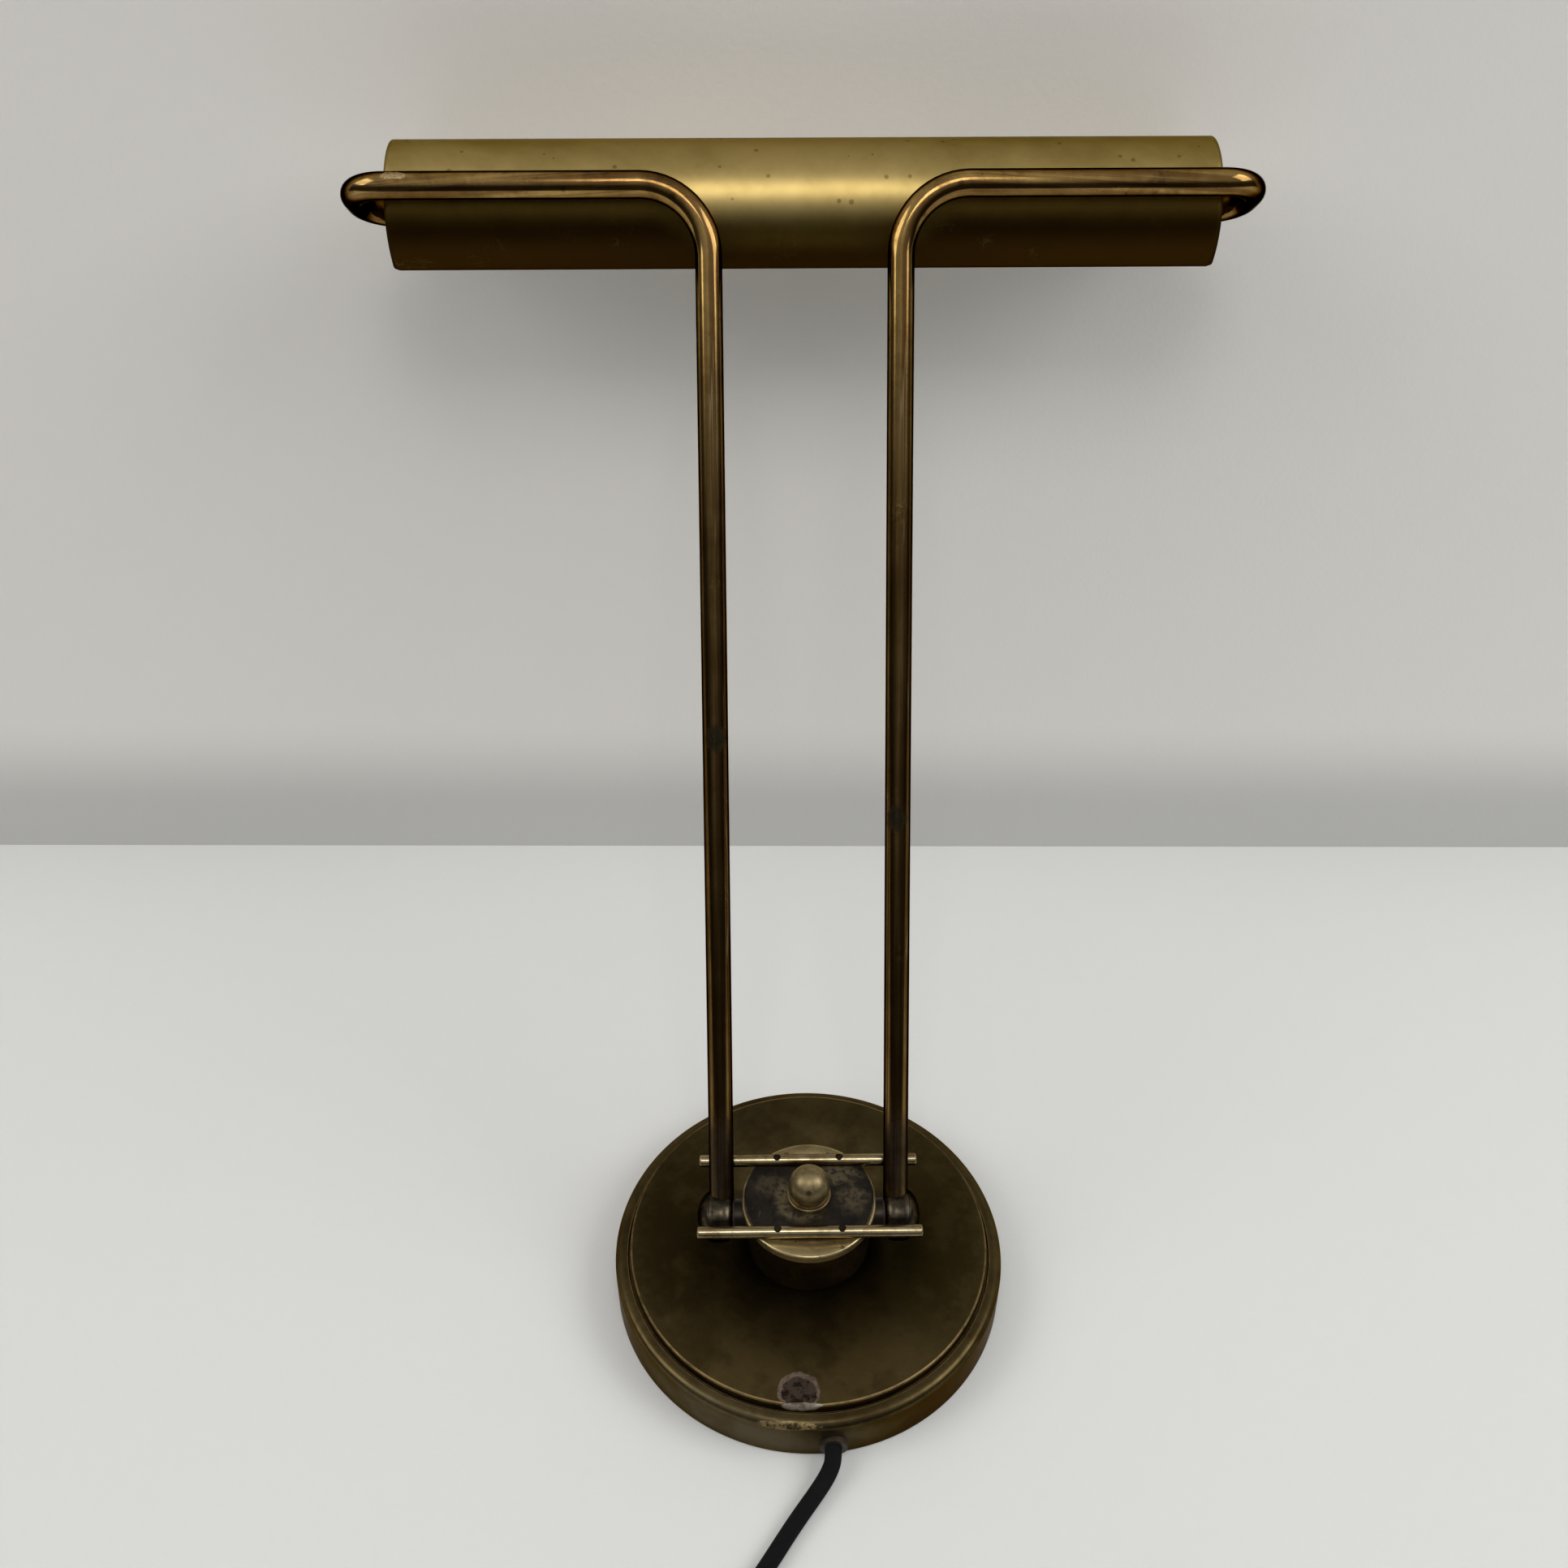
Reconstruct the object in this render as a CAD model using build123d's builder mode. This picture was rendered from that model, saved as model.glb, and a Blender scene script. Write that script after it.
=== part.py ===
from build123d import *
import os
from math import cos, pi, radians, sin, sqrt, tan

os.makedirs("parts", exist_ok=True)

# Brass desk lamp with a long trough shade on two swept tubes.
# Millimetres, Z up. The origin is the centre of the base on the table.
# The lamp leans forward, towards +Y. Its cord leaves the back, towards -Y.

# Base
base_radius = 80.0
base_height = 25.0
cover_wall = 1.2
shoulder_height = 21.0
shoulder_round = 3.4
shoulder_fall = 0.4
top_disc_inset = 6.4
top_disc_round = 1.0
groove_width = 0.9
groove_depth = 1.0
rim_lift = 0.6
felt_thickness = 2.0
weight_gap = 2.3
weight_taper = 1.5
weight_height = 13.0
weight_boss_radius = 30.0
weight_boss_taper = 3.0
recess_radius = 19.0
recess_depth = 9.0
channel_clearance = 3.0
channel_depth = 10.5
felt_gap = 0.4

# Cord
cord_diameter = 6.5
cord_exit_x = 8.0
cord_exit_height = 8.0
grommet_wall = 1.1
grommet_lip = 1.5
grommet_flange = 1.0
grommet_reach = 5.0

# Swivel between the base and the drum
thread_radius = 5.0
thread_bore = 3.5
running_gap = 0.05
swivel_washer_thickness = 0.6
swivel_washer_inset = 2.0
nut_across_flats = 17.0
nut_thickness = 4.0
nut_chamfer = 0.4
thread_overrun = 1.5
spring_height = 1.2
spring_width = 6.0
fixed_gap = 0.02
edge_break = 0.5
fine_edge_break = 0.4

# Drum and what stands on it
drum_radius = 25.2
drum_wall = 2.0
drum_floor = 3.0
pivot_head_room = 7.0
cap_radius = 27.0
cap_thickness = 4.0
cap_spigot = 0.8
plate_radius = 26.0
plate_thickness = 2.3
plate_rod_gap = 0.1
rod_diameter = 5.0
rod_end_round = 0.8
rod_length = 88.8
stop_gap = 0.32
rod_screw_offset = 12.7
rod_screw_head_radius = 1.5
rod_screw_shank_radius = 1.0
rod_screw_sink = 0.8
rod_screw_end_gap = 0.5
finial_collar_radius = 8.8
finial_collar_height = 2.0
finial_groove_depth = 1.6
finial_groove_height = 0.7
ball_radius = 8.3
stud_radius = 3.0
stud_nut_across_flats = 10.0
stud_nut_thickness = 3.0
stud_overrun = 1.0

# Tilting joints at both sides of the drum
pivot_height = 41.0
pin_radius = 4.0
pin_bore = 2.6
pin_nut_across_flats = 12.0
knuckle_radius = 10.5
knuckle_inner_face = 30.8
knuckle_width = 9.8
cap_nut_length = 4.6
dome_length = 7.2
dome_wall = 2.0
pin_end_gap = 0.3
collar_radius = 6.8
fibre_washer_radius = 6.4
fibre_washer_thickness = 0.8
pin_inner_end = 16.5
pin_nut_thickness = 3.0
pin_nut_gap = 0.05

# Arm tubes
lean_angle = 30.4
tube_radius = 5.0
tube_wall = 1.0
tube_spacing = 70.6
tube_socket_depth = 3.5
stem_length = 400.0
stem_bend_radius = 25.0
loop_clearance = 12.2
loop_bend_radius = 13.5
loop_drop = 4.0
loop_depth = 32.0
wire_radius = 3.7
wire_setback = 2.0
wire_hole_clearance = 0.1

# Shade
shade_radius = 26.4
shade_wall = 0.8
shade_length = 309.0
rear_lip_angle = -60.0
front_lip_angle = 155.0
hem_angle = 7.0
lip_corner_round = 2.0
end_plate_thickness = 0.8
end_plate_recess = 1.1
bush_wall = 1.2
bush_flange_radius = 8.5
bush_flange_thickness = 2.6
set_collar_radius = 8.0
set_collar_width = 2.8
shade_end_play = 0.3
holder_collar_gap = 1.0

# Lampholders and bulbs
holder_radius = 13.8
holder_length = 29.0
holder_neck_radius = 7.5
holder_neck_length = 5.0
holder_neck_wall = 1.5
holder_cone_length = 6.0
holder_edge_break = 1.0
holder_socket_gap = 0.3
holder_floor_gap = 0.5
tube_overrun = 1.0
bulb_cap_radius = 6.9
bulb_cap_length = 22.0
bulb_cap_showing = 2.0
bulb_contact_length = 4.0
bulb_contact_step = 1.5
bulb_contact_radius = 4.0
bulb_contact_end_radius = 3.0
bulb_radius = 12.5
bulb_length = 66.0
bulb_neck_length = 6.0
bulb_neck_inset = 0.5
bulb_glass_wall = 0.8

# Switch on the cord
switch_length = 62.0
switch_width = 24.0
switch_height = 14.5
switch_split = 7.0
switch_wall = 2.0
switch_heading = -123.2
switch_corner = 7.0
switch_inlet = (-34.0, -68.5)
switch_cord_depth = 4.0
switch_bottom_round = 1.2
switch_top_round = 3.0
rocker_sweep_radius = 10.0
rocker_width = 10.0
rocker_opening_length = 19.8
rocker_gap = 0.4
rocker_drop = 2.5
rocker_dip = 4.6
rocker_rise = 6.2
rocker_pin_radius = 1.2
rocker_pin_height = 9.6
rocker_tilt = 7.0
rocker_lug = 2.0
rocker_lug_wall = 1.3
rocker_lug_gap = 0.6
switch_screw_head_radius = 2.0
switch_screw_radius = 1.1
switch_screw_sink = 0.4
switch_screw_end_gap = 1.5
switch_hole_end_gap = 1.0
switch_post_radius = 2.8
switch_post_offset = (20.0, 7.0)

# Plug
plug_length = 36.0
plug_width = 35.0
plug_thickness = 13.7
plug_nose = 14.0
plug_snout_length = 9.0
plug_snout_radius = 5.6
plug_socket_depth = 5.0
pin_spacing = 18.6
plug_pin_radius = 2.0
plug_pin_length = 19.0
plug_pin_round = 1.4
plug_edge_round = 2.5
plug_snout_taper = 1.0
plug_snout_overlap = 1.5

# Put-away coil of the cord
coil_centre = (18.0, -114.0)
coil_mean_radius = 33.9
coil_pitch = 7.2
coil_half_turns_in = 7
coil_climb_inset = 1.0

# Places worked out from the sizes above
top_disc_radius = base_radius - top_disc_inset
weight_radius = base_radius - cover_wall - weight_gap
cord_radius = cord_diameter / 2
pivot = Vector(0, 0, pivot_height)
lean = radians(lean_angle)
arm_plane = Plane(origin=pivot, x_dir=(1, 0, 0), z_dir=(0, sin(lean), cos(lean)))
shade_height = stem_length - loop_drop
tube_offset = tube_spacing / 2
drum_top = pivot_height + pivot_head_room
cap_top = drum_top + cap_thickness
rod_height = cap_top + rod_diameter / 2 + fixed_gap
rod_reach = tube_radius + rod_diameter / 2 + stop_gap
rod_offset = (rod_reach + (rod_height - pivot_height) * sin(lean)) / cos(lean)
plate_top = cap_top + plate_thickness
cap_nut_face = knuckle_inner_face + knuckle_width
shade_end = shade_length / 2
loop_reach = shade_end + loop_clearance
plate_outer_face = shade_end - end_plate_recess
plate_inner_face = plate_outer_face - end_plate_thickness
bush_inner_face = plate_inner_face - bush_flange_thickness
collar_outer_face = bush_inner_face - shade_end_play
collar_inner_face = collar_outer_face - set_collar_width
holder_end = collar_inner_face - holder_collar_gap
holder_face = holder_end - holder_neck_length - holder_length
tube_end = holder_end - holder_neck_length + tube_overrun
sides = (("left", -1), ("right", 1))


def save(builder, name):
    """Labels a finished piece and writes it under its own name."""
    builder.part.label = name
    export_step(builder.part, f"parts/{name}.step")


def corner_radii(points):
    """The radius of the arc at each inner corner of a route, as large as its two runs allow."""
    route = [Vector(*point) for point in points]
    radii = []
    for before, corner, after in zip(route, route[1:], route[2:]):
        arriving = corner - before
        leaving = after - corner
        turn = radians(arriving.get_angle(leaving))
        shorter = min(arriving.length, leaving.length)
        radii.append(0.45 * shorter / tan(turn / 2))
    return radii


def cord_tube(name, points, radius):
    """A round cord along straight runs joined by arcs. Returns its length."""
    radii = corner_radii(points)
    with BuildPart() as tube:
        with BuildLine() as route:
            FilletPolyline(*points, radius=radii)
        with BuildSketch(Plane(origin=route.wire() @ 0, z_dir=route.wire() % 0)):
            Circle(radius)
        sweep(path=route.wire())
    save(tube, name)
    length = route.wire().length
    share = tube.part.volume / (pi * radius**2 * length)
    print(name, "length", round(length, 1), "volume over section times length", round(share, 4))
    print(name, "radii", [round(value, 1) for value in radii])
    return length


def behind(x, y, z):
    """A place for the cord and what is on it, with y counted from the back of the base."""
    return (x, y - base_radius, z)


# The base: a spun cover over a cast weight, standing on felt

with BuildPart() as base_cover:
    with BuildSketch(Plane.XZ):
        with BuildLine():
            Polyline(
                (0, rim_lift),
                (base_radius, rim_lift),
                (base_radius, shoulder_height - shoulder_round),
            )
            RadiusArc(
                (base_radius, shoulder_height - shoulder_round),
                (base_radius - shoulder_round, shoulder_height),
                -shoulder_round,
            )
            Polyline(
                (base_radius - shoulder_round, shoulder_height),
                (top_disc_radius + groove_width, shoulder_height + shoulder_fall),
                (top_disc_radius + groove_width, shoulder_height - groove_depth),
                (top_disc_radius, shoulder_height - groove_depth),
                (top_disc_radius, base_height - top_disc_round),
            )
            RadiusArc(
                (top_disc_radius, base_height - top_disc_round),
                (top_disc_radius - top_disc_round, base_height),
                -top_disc_round,
            )
            Polyline((top_disc_radius - top_disc_round, base_height), (0, base_height), (0, rim_lift))
        make_face()
    revolve(axis=Axis.Z)
    with BuildSketch(Plane.XZ):
        with BuildLine():
            Polyline(
                (0, 0),
                (base_radius - cover_wall, 0),
                (base_radius - cover_wall, shoulder_height - shoulder_round),
                (base_radius - shoulder_round, shoulder_height - groove_depth - cover_wall),
                (top_disc_radius - cover_wall, shoulder_height - groove_depth - cover_wall),
                (top_disc_radius - cover_wall, base_height - cover_wall),
                (0, base_height - cover_wall),
                (0, 0),
            )
        make_face()
    revolve(axis=Axis.Z, mode=Mode.SUBTRACT)
    with Locations((0, 0, base_height)):
        Hole(thread_radius + running_gap, depth=2 * cover_wall)
    with BuildSketch(Plane.XZ):
        with Locations((cord_exit_x, cord_exit_height)):
            Circle(cord_radius + grommet_wall + running_gap)
    extrude(amount=base_radius + cover_wall, mode=Mode.SUBTRACT)
save(base_cover, "base_cover")

weight_floor = felt_thickness
weight_top = weight_floor + weight_height
cover_ceiling = base_height - cover_wall
with BuildPart() as base_weight:
    with BuildSketch(Plane.XZ):
        Polygon(
            (0, weight_floor),
            (weight_radius, weight_floor),
            (weight_radius - weight_taper, weight_top),
            (weight_boss_radius + weight_boss_taper, weight_top),
            (weight_boss_radius, cover_ceiling),
            (0, cover_ceiling),
            align=None,
        )
    revolve(axis=Axis.Z)
    with BuildSketch(Plane.XY.offset(weight_floor)):
        Circle(recess_radius)
    extrude(amount=recess_depth, mode=Mode.SUBTRACT)
    with BuildSketch(Plane.XY.offset(weight_floor)):
        with Locations((cord_exit_x, -weight_radius / 2)):
            Rectangle(cord_diameter + 2 * channel_clearance, weight_radius)
    extrude(amount=channel_depth, mode=Mode.SUBTRACT)
    with Locations((0, 0, cover_ceiling)):
        Hole(thread_radius + running_gap)
save(base_weight, "base_weight")

with BuildPart() as base_felt:
    with BuildSketch():
        Circle(base_radius - cover_wall - felt_gap)
    extrude(amount=felt_thickness)
save(base_felt, "base_felt")

recess_ceiling = weight_floor + recess_depth
washer_top = base_height + swivel_washer_thickness
floor_top = washer_top + drum_floor
tube_bottom = recess_ceiling - nut_thickness - thread_overrun
tube_top = floor_top + spring_height + nut_thickness + thread_overrun
with BuildPart() as threaded_tube:
    with BuildSketch(Plane.XY.offset(tube_bottom)):
        Circle(thread_radius)
        Circle(thread_bore, mode=Mode.SUBTRACT)
    extrude(amount=tube_top - tube_bottom)
save(threaded_tube, "threaded_tube")

with BuildPart() as base_nut:
    with BuildSketch(Plane.XY.offset(recess_ceiling - nut_thickness)):
        RegularPolygon(nut_across_flats / 2, 6, major_radius=False)
        Circle(thread_radius + running_gap, mode=Mode.SUBTRACT)
    extrude(amount=nut_thickness)
    chamfer(base_nut.edges().filter_by(GeomType.CIRCLE), nut_chamfer)
save(base_nut, "base_nut")

with BuildPart() as swivel_washer:
    with BuildSketch(Plane.XY.offset(base_height)):
        Circle(drum_radius - swivel_washer_inset)
        Circle(thread_radius + running_gap, mode=Mode.SUBTRACT)
    extrude(amount=swivel_washer_thickness)
save(swivel_washer, "swivel_washer")

with BuildPart() as swivel_spring:
    with BuildSketch(Plane.XZ):
        Polygon(
            (thread_radius + running_gap, floor_top + spring_height),
            (thread_radius + running_gap, floor_top + spring_height / 2),
            (thread_radius + spring_width, floor_top),
            (thread_radius + spring_width, floor_top + spring_height / 2),
            align=None,
        )
    revolve(axis=Axis.Z)
save(swivel_spring, "swivel_spring")

with BuildPart() as swivel_nut:
    with BuildSketch(Plane.XY.offset(floor_top + spring_height)):
        RegularPolygon(nut_across_flats / 2, 6, major_radius=False)
        Circle(thread_radius + running_gap, mode=Mode.SUBTRACT)
    extrude(amount=nut_thickness)
    chamfer(swivel_nut.edges().filter_by(GeomType.CIRCLE), nut_chamfer)
save(swivel_nut, "swivel_nut")

grommet_face = base_radius + grommet_lip
with BuildPart() as cord_grommet:
    with BuildSketch(Plane.XZ):
        with Locations((cord_exit_x, cord_exit_height)):
            Circle(cord_radius + grommet_wall + grommet_flange)
    extrude(amount=grommet_face)
    with BuildSketch(Plane.XY):
        Circle(base_radius)
    extrude(amount=base_height, mode=Mode.SUBTRACT)
    with BuildSketch(Plane.XZ):
        with Locations((cord_exit_x, cord_exit_height)):
            Circle(cord_radius + grommet_wall)
    extrude(amount=base_radius)
    with BuildSketch(Plane.XY):
        Circle(base_radius - grommet_reach)
    extrude(amount=base_height, mode=Mode.SUBTRACT)
    with BuildSketch(Plane.XZ):
        with Locations((cord_exit_x, cord_exit_height)):
            Circle(cord_radius + fixed_gap)
    extrude(amount=grommet_face, mode=Mode.SUBTRACT)
save(cord_grommet, "cord_grommet")

# The head: a drum that turns on the base, with its cap, plate, cross rods and ball finial

drum_bore = drum_radius - drum_wall
with BuildPart() as drum:
    with BuildSketch(Plane.XY.offset(washer_top)):
        Circle(drum_radius)
    extrude(amount=drum_top - washer_top)
    with BuildSketch(Plane.XY.offset(floor_top)):
        Circle(drum_bore)
    extrude(amount=drum_top - floor_top, mode=Mode.SUBTRACT)
    with BuildSketch(Plane.XY.offset(washer_top)):
        Circle(thread_radius + running_gap)
    extrude(amount=drum_floor, mode=Mode.SUBTRACT)
    with BuildSketch(Plane.YZ):
        with Locations((0, pivot_height)):
            Circle(pin_radius + fixed_gap)
    extrude(amount=drum_radius + drum_wall, both=True, mode=Mode.SUBTRACT)
    bottom_circles = drum.edges().filter_by(GeomType.CIRCLE).group_by(Axis.Z)[0]
    chamfer(bottom_circles.sort_by(SortBy.RADIUS)[-1], edge_break)
save(drum, "drum")

with BuildPart() as drum_cap:
    with BuildSketch(Plane.XY.offset(drum_top - cap_spigot)):
        Circle(drum_bore - fixed_gap)
    extrude(amount=cap_spigot)
    with BuildSketch(Plane.XY.offset(drum_top)):
        Circle(cap_radius)
    extrude(amount=cap_thickness)
    chamfer(drum_cap.edges().filter_by(GeomType.CIRCLE).group_by(Axis.Z)[-1], edge_break)
    with BuildSketch(Plane.XY.offset(cap_top)):
        Circle(stud_radius + fixed_gap)
        with GridLocations(2 * rod_screw_offset, 2 * rod_offset, 2, 2):
            Circle(rod_screw_shank_radius + fixed_gap)
    extrude(amount=-cap_thickness - cap_spigot, mode=Mode.SUBTRACT)
save(drum_cap, "drum_cap")

plate_half_depth = rod_offset - rod_diameter / 2 - plate_rod_gap
with BuildPart() as head_plate:
    with BuildSketch(Plane.XY.offset(cap_top)):
        Circle(plate_radius)
        Rectangle(2 * plate_radius, 2 * plate_half_depth, mode=Mode.INTERSECT)
        Circle(stud_radius + fixed_gap, mode=Mode.SUBTRACT)
    extrude(amount=plate_thickness)
    chamfer(head_plate.faces().sort_by(Axis.Z)[-1].outer_wire().edges(), fine_edge_break)
save(head_plate, "head_plate")

for rod_name, rod_side in (("rear", -1), ("front", 1)):
    rod_y = rod_side * rod_offset
    with BuildPart() as stop_rod:
        with BuildSketch(Plane.YZ):
            with Locations((rod_y, rod_height)):
                Circle(rod_diameter / 2)
        extrude(amount=rod_length / 2, both=True)
        fillet(stop_rod.edges().filter_by(GeomType.CIRCLE), rod_end_round)
        with BuildSketch(Plane.XY.offset(rod_height + rod_diameter)):
            with Locations((-rod_screw_offset, rod_y), (rod_screw_offset, rod_y)):
                Circle(rod_screw_shank_radius + fixed_gap)
        extrude(amount=-2 * rod_diameter, mode=Mode.SUBTRACT)
        with BuildSketch(Plane.XY.offset(rod_height + rod_diameter)):
            with Locations((-rod_screw_offset, rod_y), (rod_screw_offset, rod_y)):
                Circle(rod_screw_head_radius + fixed_gap)
        extrude(amount=-rod_diameter, mode=Mode.SUBTRACT)
    save(stop_rod, f"{rod_name}_stop_rod")

rod_screw_top = rod_height + rod_diameter / 2 - rod_screw_sink
rod_screw_end = drum_top + rod_screw_end_gap
with BuildPart() as rod_screws:
    with BuildSketch(Plane.XY.offset(rod_height)):
        with GridLocations(2 * rod_screw_offset, 2 * rod_offset, 2, 2):
            Circle(rod_screw_head_radius)
    extrude(amount=rod_screw_top - rod_height)
    with BuildSketch(Plane.XY.offset(rod_screw_end)):
        with GridLocations(2 * rod_screw_offset, 2 * rod_offset, 2, 2):
            Circle(rod_screw_shank_radius)
    extrude(amount=rod_height - rod_screw_end)
save(rod_screws, "rod_screws")

collar_top = plate_top + finial_collar_height
ball_seat = collar_top + finial_groove_height
groove_radius = finial_collar_radius - finial_groove_depth
ball_centre = ball_seat + sqrt(ball_radius**2 - groove_radius**2)
ball_top = ball_centre + ball_radius
finial_bore_top = ball_centre
with BuildPart() as ball_finial:
    with BuildSketch(Plane.XZ):
        with BuildLine():
            Polyline(
                (0, plate_top),
                (finial_collar_radius - fine_edge_break, plate_top),
                (finial_collar_radius, plate_top + fine_edge_break),
                (finial_collar_radius, collar_top - fine_edge_break),
                (finial_collar_radius - fine_edge_break, collar_top),
                (groove_radius, collar_top),
                (groove_radius, ball_seat),
            )
            ThreePointArc(
                (groove_radius, ball_seat),
                (ball_radius, ball_centre),
                (0, ball_top),
            )
            Line((0, ball_top), (0, plate_top))
        make_face()
    revolve(axis=Axis.Z)
    with BuildSketch(Plane.XY.offset(plate_top)):
        Circle(stud_radius + fixed_gap)
    extrude(amount=finial_bore_top - plate_top, mode=Mode.SUBTRACT)
save(ball_finial, "ball_finial")

stud_nut_top = drum_top - cap_spigot
stud_bottom = stud_nut_top - stud_nut_thickness - stud_overrun
with BuildPart() as finial_stud:
    with BuildSketch(Plane.XY.offset(stud_bottom)):
        Circle(stud_radius)
    extrude(amount=finial_bore_top - stud_overrun - stud_bottom)
    chamfer(finial_stud.edges().filter_by(GeomType.CIRCLE), edge_break)
save(finial_stud, "finial_stud")

with BuildPart() as stud_nut:
    with BuildSketch(Plane.XY.offset(stud_nut_top - stud_nut_thickness)):
        RegularPolygon(stud_nut_across_flats / 2, 6, major_radius=False)
        Circle(stud_radius + fixed_gap, mode=Mode.SUBTRACT)
    extrude(amount=stud_nut_thickness)
    chamfer(stud_nut.edges().filter_by(GeomType.CIRCLE), nut_chamfer)
save(stud_nut, "stud_nut")

# The tilting joints: on each side a hollow pin carries a knuckle, and a domed nut clamps it

pivot_axis = Axis(pivot, (1, 0, 0))
dome_tip = cap_nut_face + cap_nut_length
dome_start = dome_tip - dome_length
pin_outer_end = dome_tip - dome_wall
nut_corner = pin_nut_across_flats / sqrt(3)
pin_nut_face = sqrt(drum_bore**2 - nut_corner**2) - pin_nut_gap
collar_outer_end = knuckle_inner_face - fibre_washer_thickness
tube_start = knuckle_radius - tube_socket_depth


def pivot_section(place, side):
    """The plane across the pivot at a place, facing outwards on one side."""
    return Plane(origin=(side * place, 0, pivot_height), x_dir=(0, 1, 0), z_dir=(side, 0, 0))


def stem_section(side, along):
    """The plane across a stem at a distance along it."""
    centre = arm_plane.from_local_coords((side * tube_offset, 0, along))
    return Plane(origin=centre, z_dir=arm_plane.z_dir)


def knuckle_blank(side, near, far):
    """The turned outline of a knuckle and its domed nut, cut off at near and far."""
    with BuildSketch(Plane.XZ) as outline:
        with Locations((side * (knuckle_inner_face + dome_start) / 2, pivot_height)):
            Rectangle(dome_start - knuckle_inner_face, 2 * knuckle_radius)
        with Locations((side * dome_start, pivot_height)):
            Ellipse(dome_length, knuckle_radius)
        with Locations((side * (near + far) / 2, pivot_height + knuckle_radius / 2)):
            Rectangle(far - near, knuckle_radius, mode=Mode.INTERSECT)
    revolve(outline.sketch, axis=pivot_axis)


def pin_hole(side, near, far, radius):
    """Cuts a round hole along the pivot, from near to far on one side of the lamp."""
    with BuildSketch(pivot_section(near, side)) as hole:
        Circle(radius)
    extrude(hole.sketch, amount=far - near, mode=Mode.SUBTRACT)


def pivot_ring(side, near, far, radius, bore):
    """A plain ring about the pivot, from near to far on one side of the lamp."""
    with BuildSketch(pivot_section(near, side)) as ring:
        Circle(radius)
        Circle(bore, mode=Mode.SUBTRACT)
    extrude(ring.sketch, amount=far - near)


for side_name, side in sides:
    with BuildPart() as pivot_pin:
        pivot_ring(side, pin_inner_end, pin_outer_end, pin_radius, pin_bore)
    save(pivot_pin, f"{side_name}_pivot_pin")

    with BuildPart() as pin_nut:
        with BuildSketch(pivot_section(pin_nut_face, side)):
            RegularPolygon(pin_nut_across_flats / 2, 6, major_radius=False)
            Circle(pin_radius + fixed_gap, mode=Mode.SUBTRACT)
        extrude(amount=-pin_nut_thickness)
        chamfer(pin_nut.edges().filter_by(GeomType.CIRCLE), nut_chamfer)
    save(pin_nut, f"{side_name}_pin_nut")

    with BuildPart() as spacing_collar:
        pivot_ring(side, pin_nut_face, collar_outer_end, collar_radius, pin_radius + fixed_gap)
        with BuildSketch(Plane.XY.offset(washer_top)):
            Circle(drum_radius)
        extrude(amount=drum_top, mode=Mode.SUBTRACT)
    save(spacing_collar, f"{side_name}_spacing_collar")

    with BuildPart() as fibre_washer:
        pivot_ring(side, collar_outer_end, knuckle_inner_face, fibre_washer_radius, pin_radius + fixed_gap)
    save(fibre_washer, f"{side_name}_fibre_washer")

    with BuildPart() as knuckle:
        knuckle_blank(side, knuckle_inner_face, cap_nut_face)
        pin_hole(side, knuckle_inner_face, cap_nut_face, pin_radius + running_gap)
        with BuildSketch(stem_section(side, tube_start)):
            Circle(tube_radius + fixed_gap)
        extrude(amount=2 * knuckle_radius, mode=Mode.SUBTRACT)
        with BuildSketch(stem_section(side, 0)):
            Circle(wire_radius + wire_hole_clearance)
        extrude(amount=tube_start, mode=Mode.SUBTRACT)
    save(knuckle, f"{side_name}_knuckle")

with BuildPart() as right_cap_nut:
    knuckle_blank(1, cap_nut_face, dome_tip)
    pin_hole(1, cap_nut_face, pin_outer_end + pin_end_gap, pin_radius + fixed_gap)
save(right_cap_nut, "right_cap_nut")

with BuildPart() as left_cap_nut:
    mirror(right_cap_nut.part, about=Plane.YZ)
save(left_cap_nut, "left_cap_nut")

# The arm: two mirrored tubes, each bent outwards and looped back into an end of the shade


def arm_point(x, forward, along):
    """A point of the arm: sideways, square to the stem on its lower side, and along the stem."""
    return arm_plane.from_local_coords(Vector(x, forward, along))


def arm_tube(side, start, radius, bore, name):
    """A tube or wire along the arm's route on one side, from start above the pivot to the lampholder."""
    with BuildPart() as tube:
        with BuildLine() as route:
            FilletPolyline(
                arm_point(side * tube_offset, 0, start),
                arm_point(side * tube_offset, 0, stem_length),
                arm_point(side * loop_reach, 0, stem_length),
                arm_point(side * loop_reach, loop_depth, shade_height),
                arm_point(side * tube_end, loop_depth, shade_height),
                radius=[stem_bend_radius, loop_bend_radius, loop_bend_radius],
            )
        with BuildSketch(Plane(origin=route.wire() @ 0, z_dir=route.wire() % 0)):
            Circle(radius)
            if bore > 0:
                Circle(bore, mode=Mode.SUBTRACT)
        sweep(path=route.wire())
    save(tube, name)


for side_name, side in sides:
    arm_tube(side, tube_start, tube_radius, tube_radius - tube_wall, f"{side_name}_arm_tube")
    arm_tube(side, tube_start + wire_setback, wire_radius, 0, f"{side_name}_lead_wire")

# The shade: a rolled trough that turns about the two tube ends

shade_centre = arm_point(0, loop_depth, shade_height)
towards_tubes = -arm_plane.y_dir
shade_wrap = front_lip_angle - rear_lip_angle
shade_bore = shade_radius - shade_wall
crown_angle = (rear_lip_angle + front_lip_angle) / 2
chord_depth = -shade_bore * cos(radians(shade_wrap / 2))


def shade_section(x):
    """The plane across the shade at x, with angles counted from the tubes towards the top."""
    return Plane(origin=shade_centre + Vector(x, 0, 0), x_dir=towards_tubes, z_dir=(-1, 0, 0))


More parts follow.
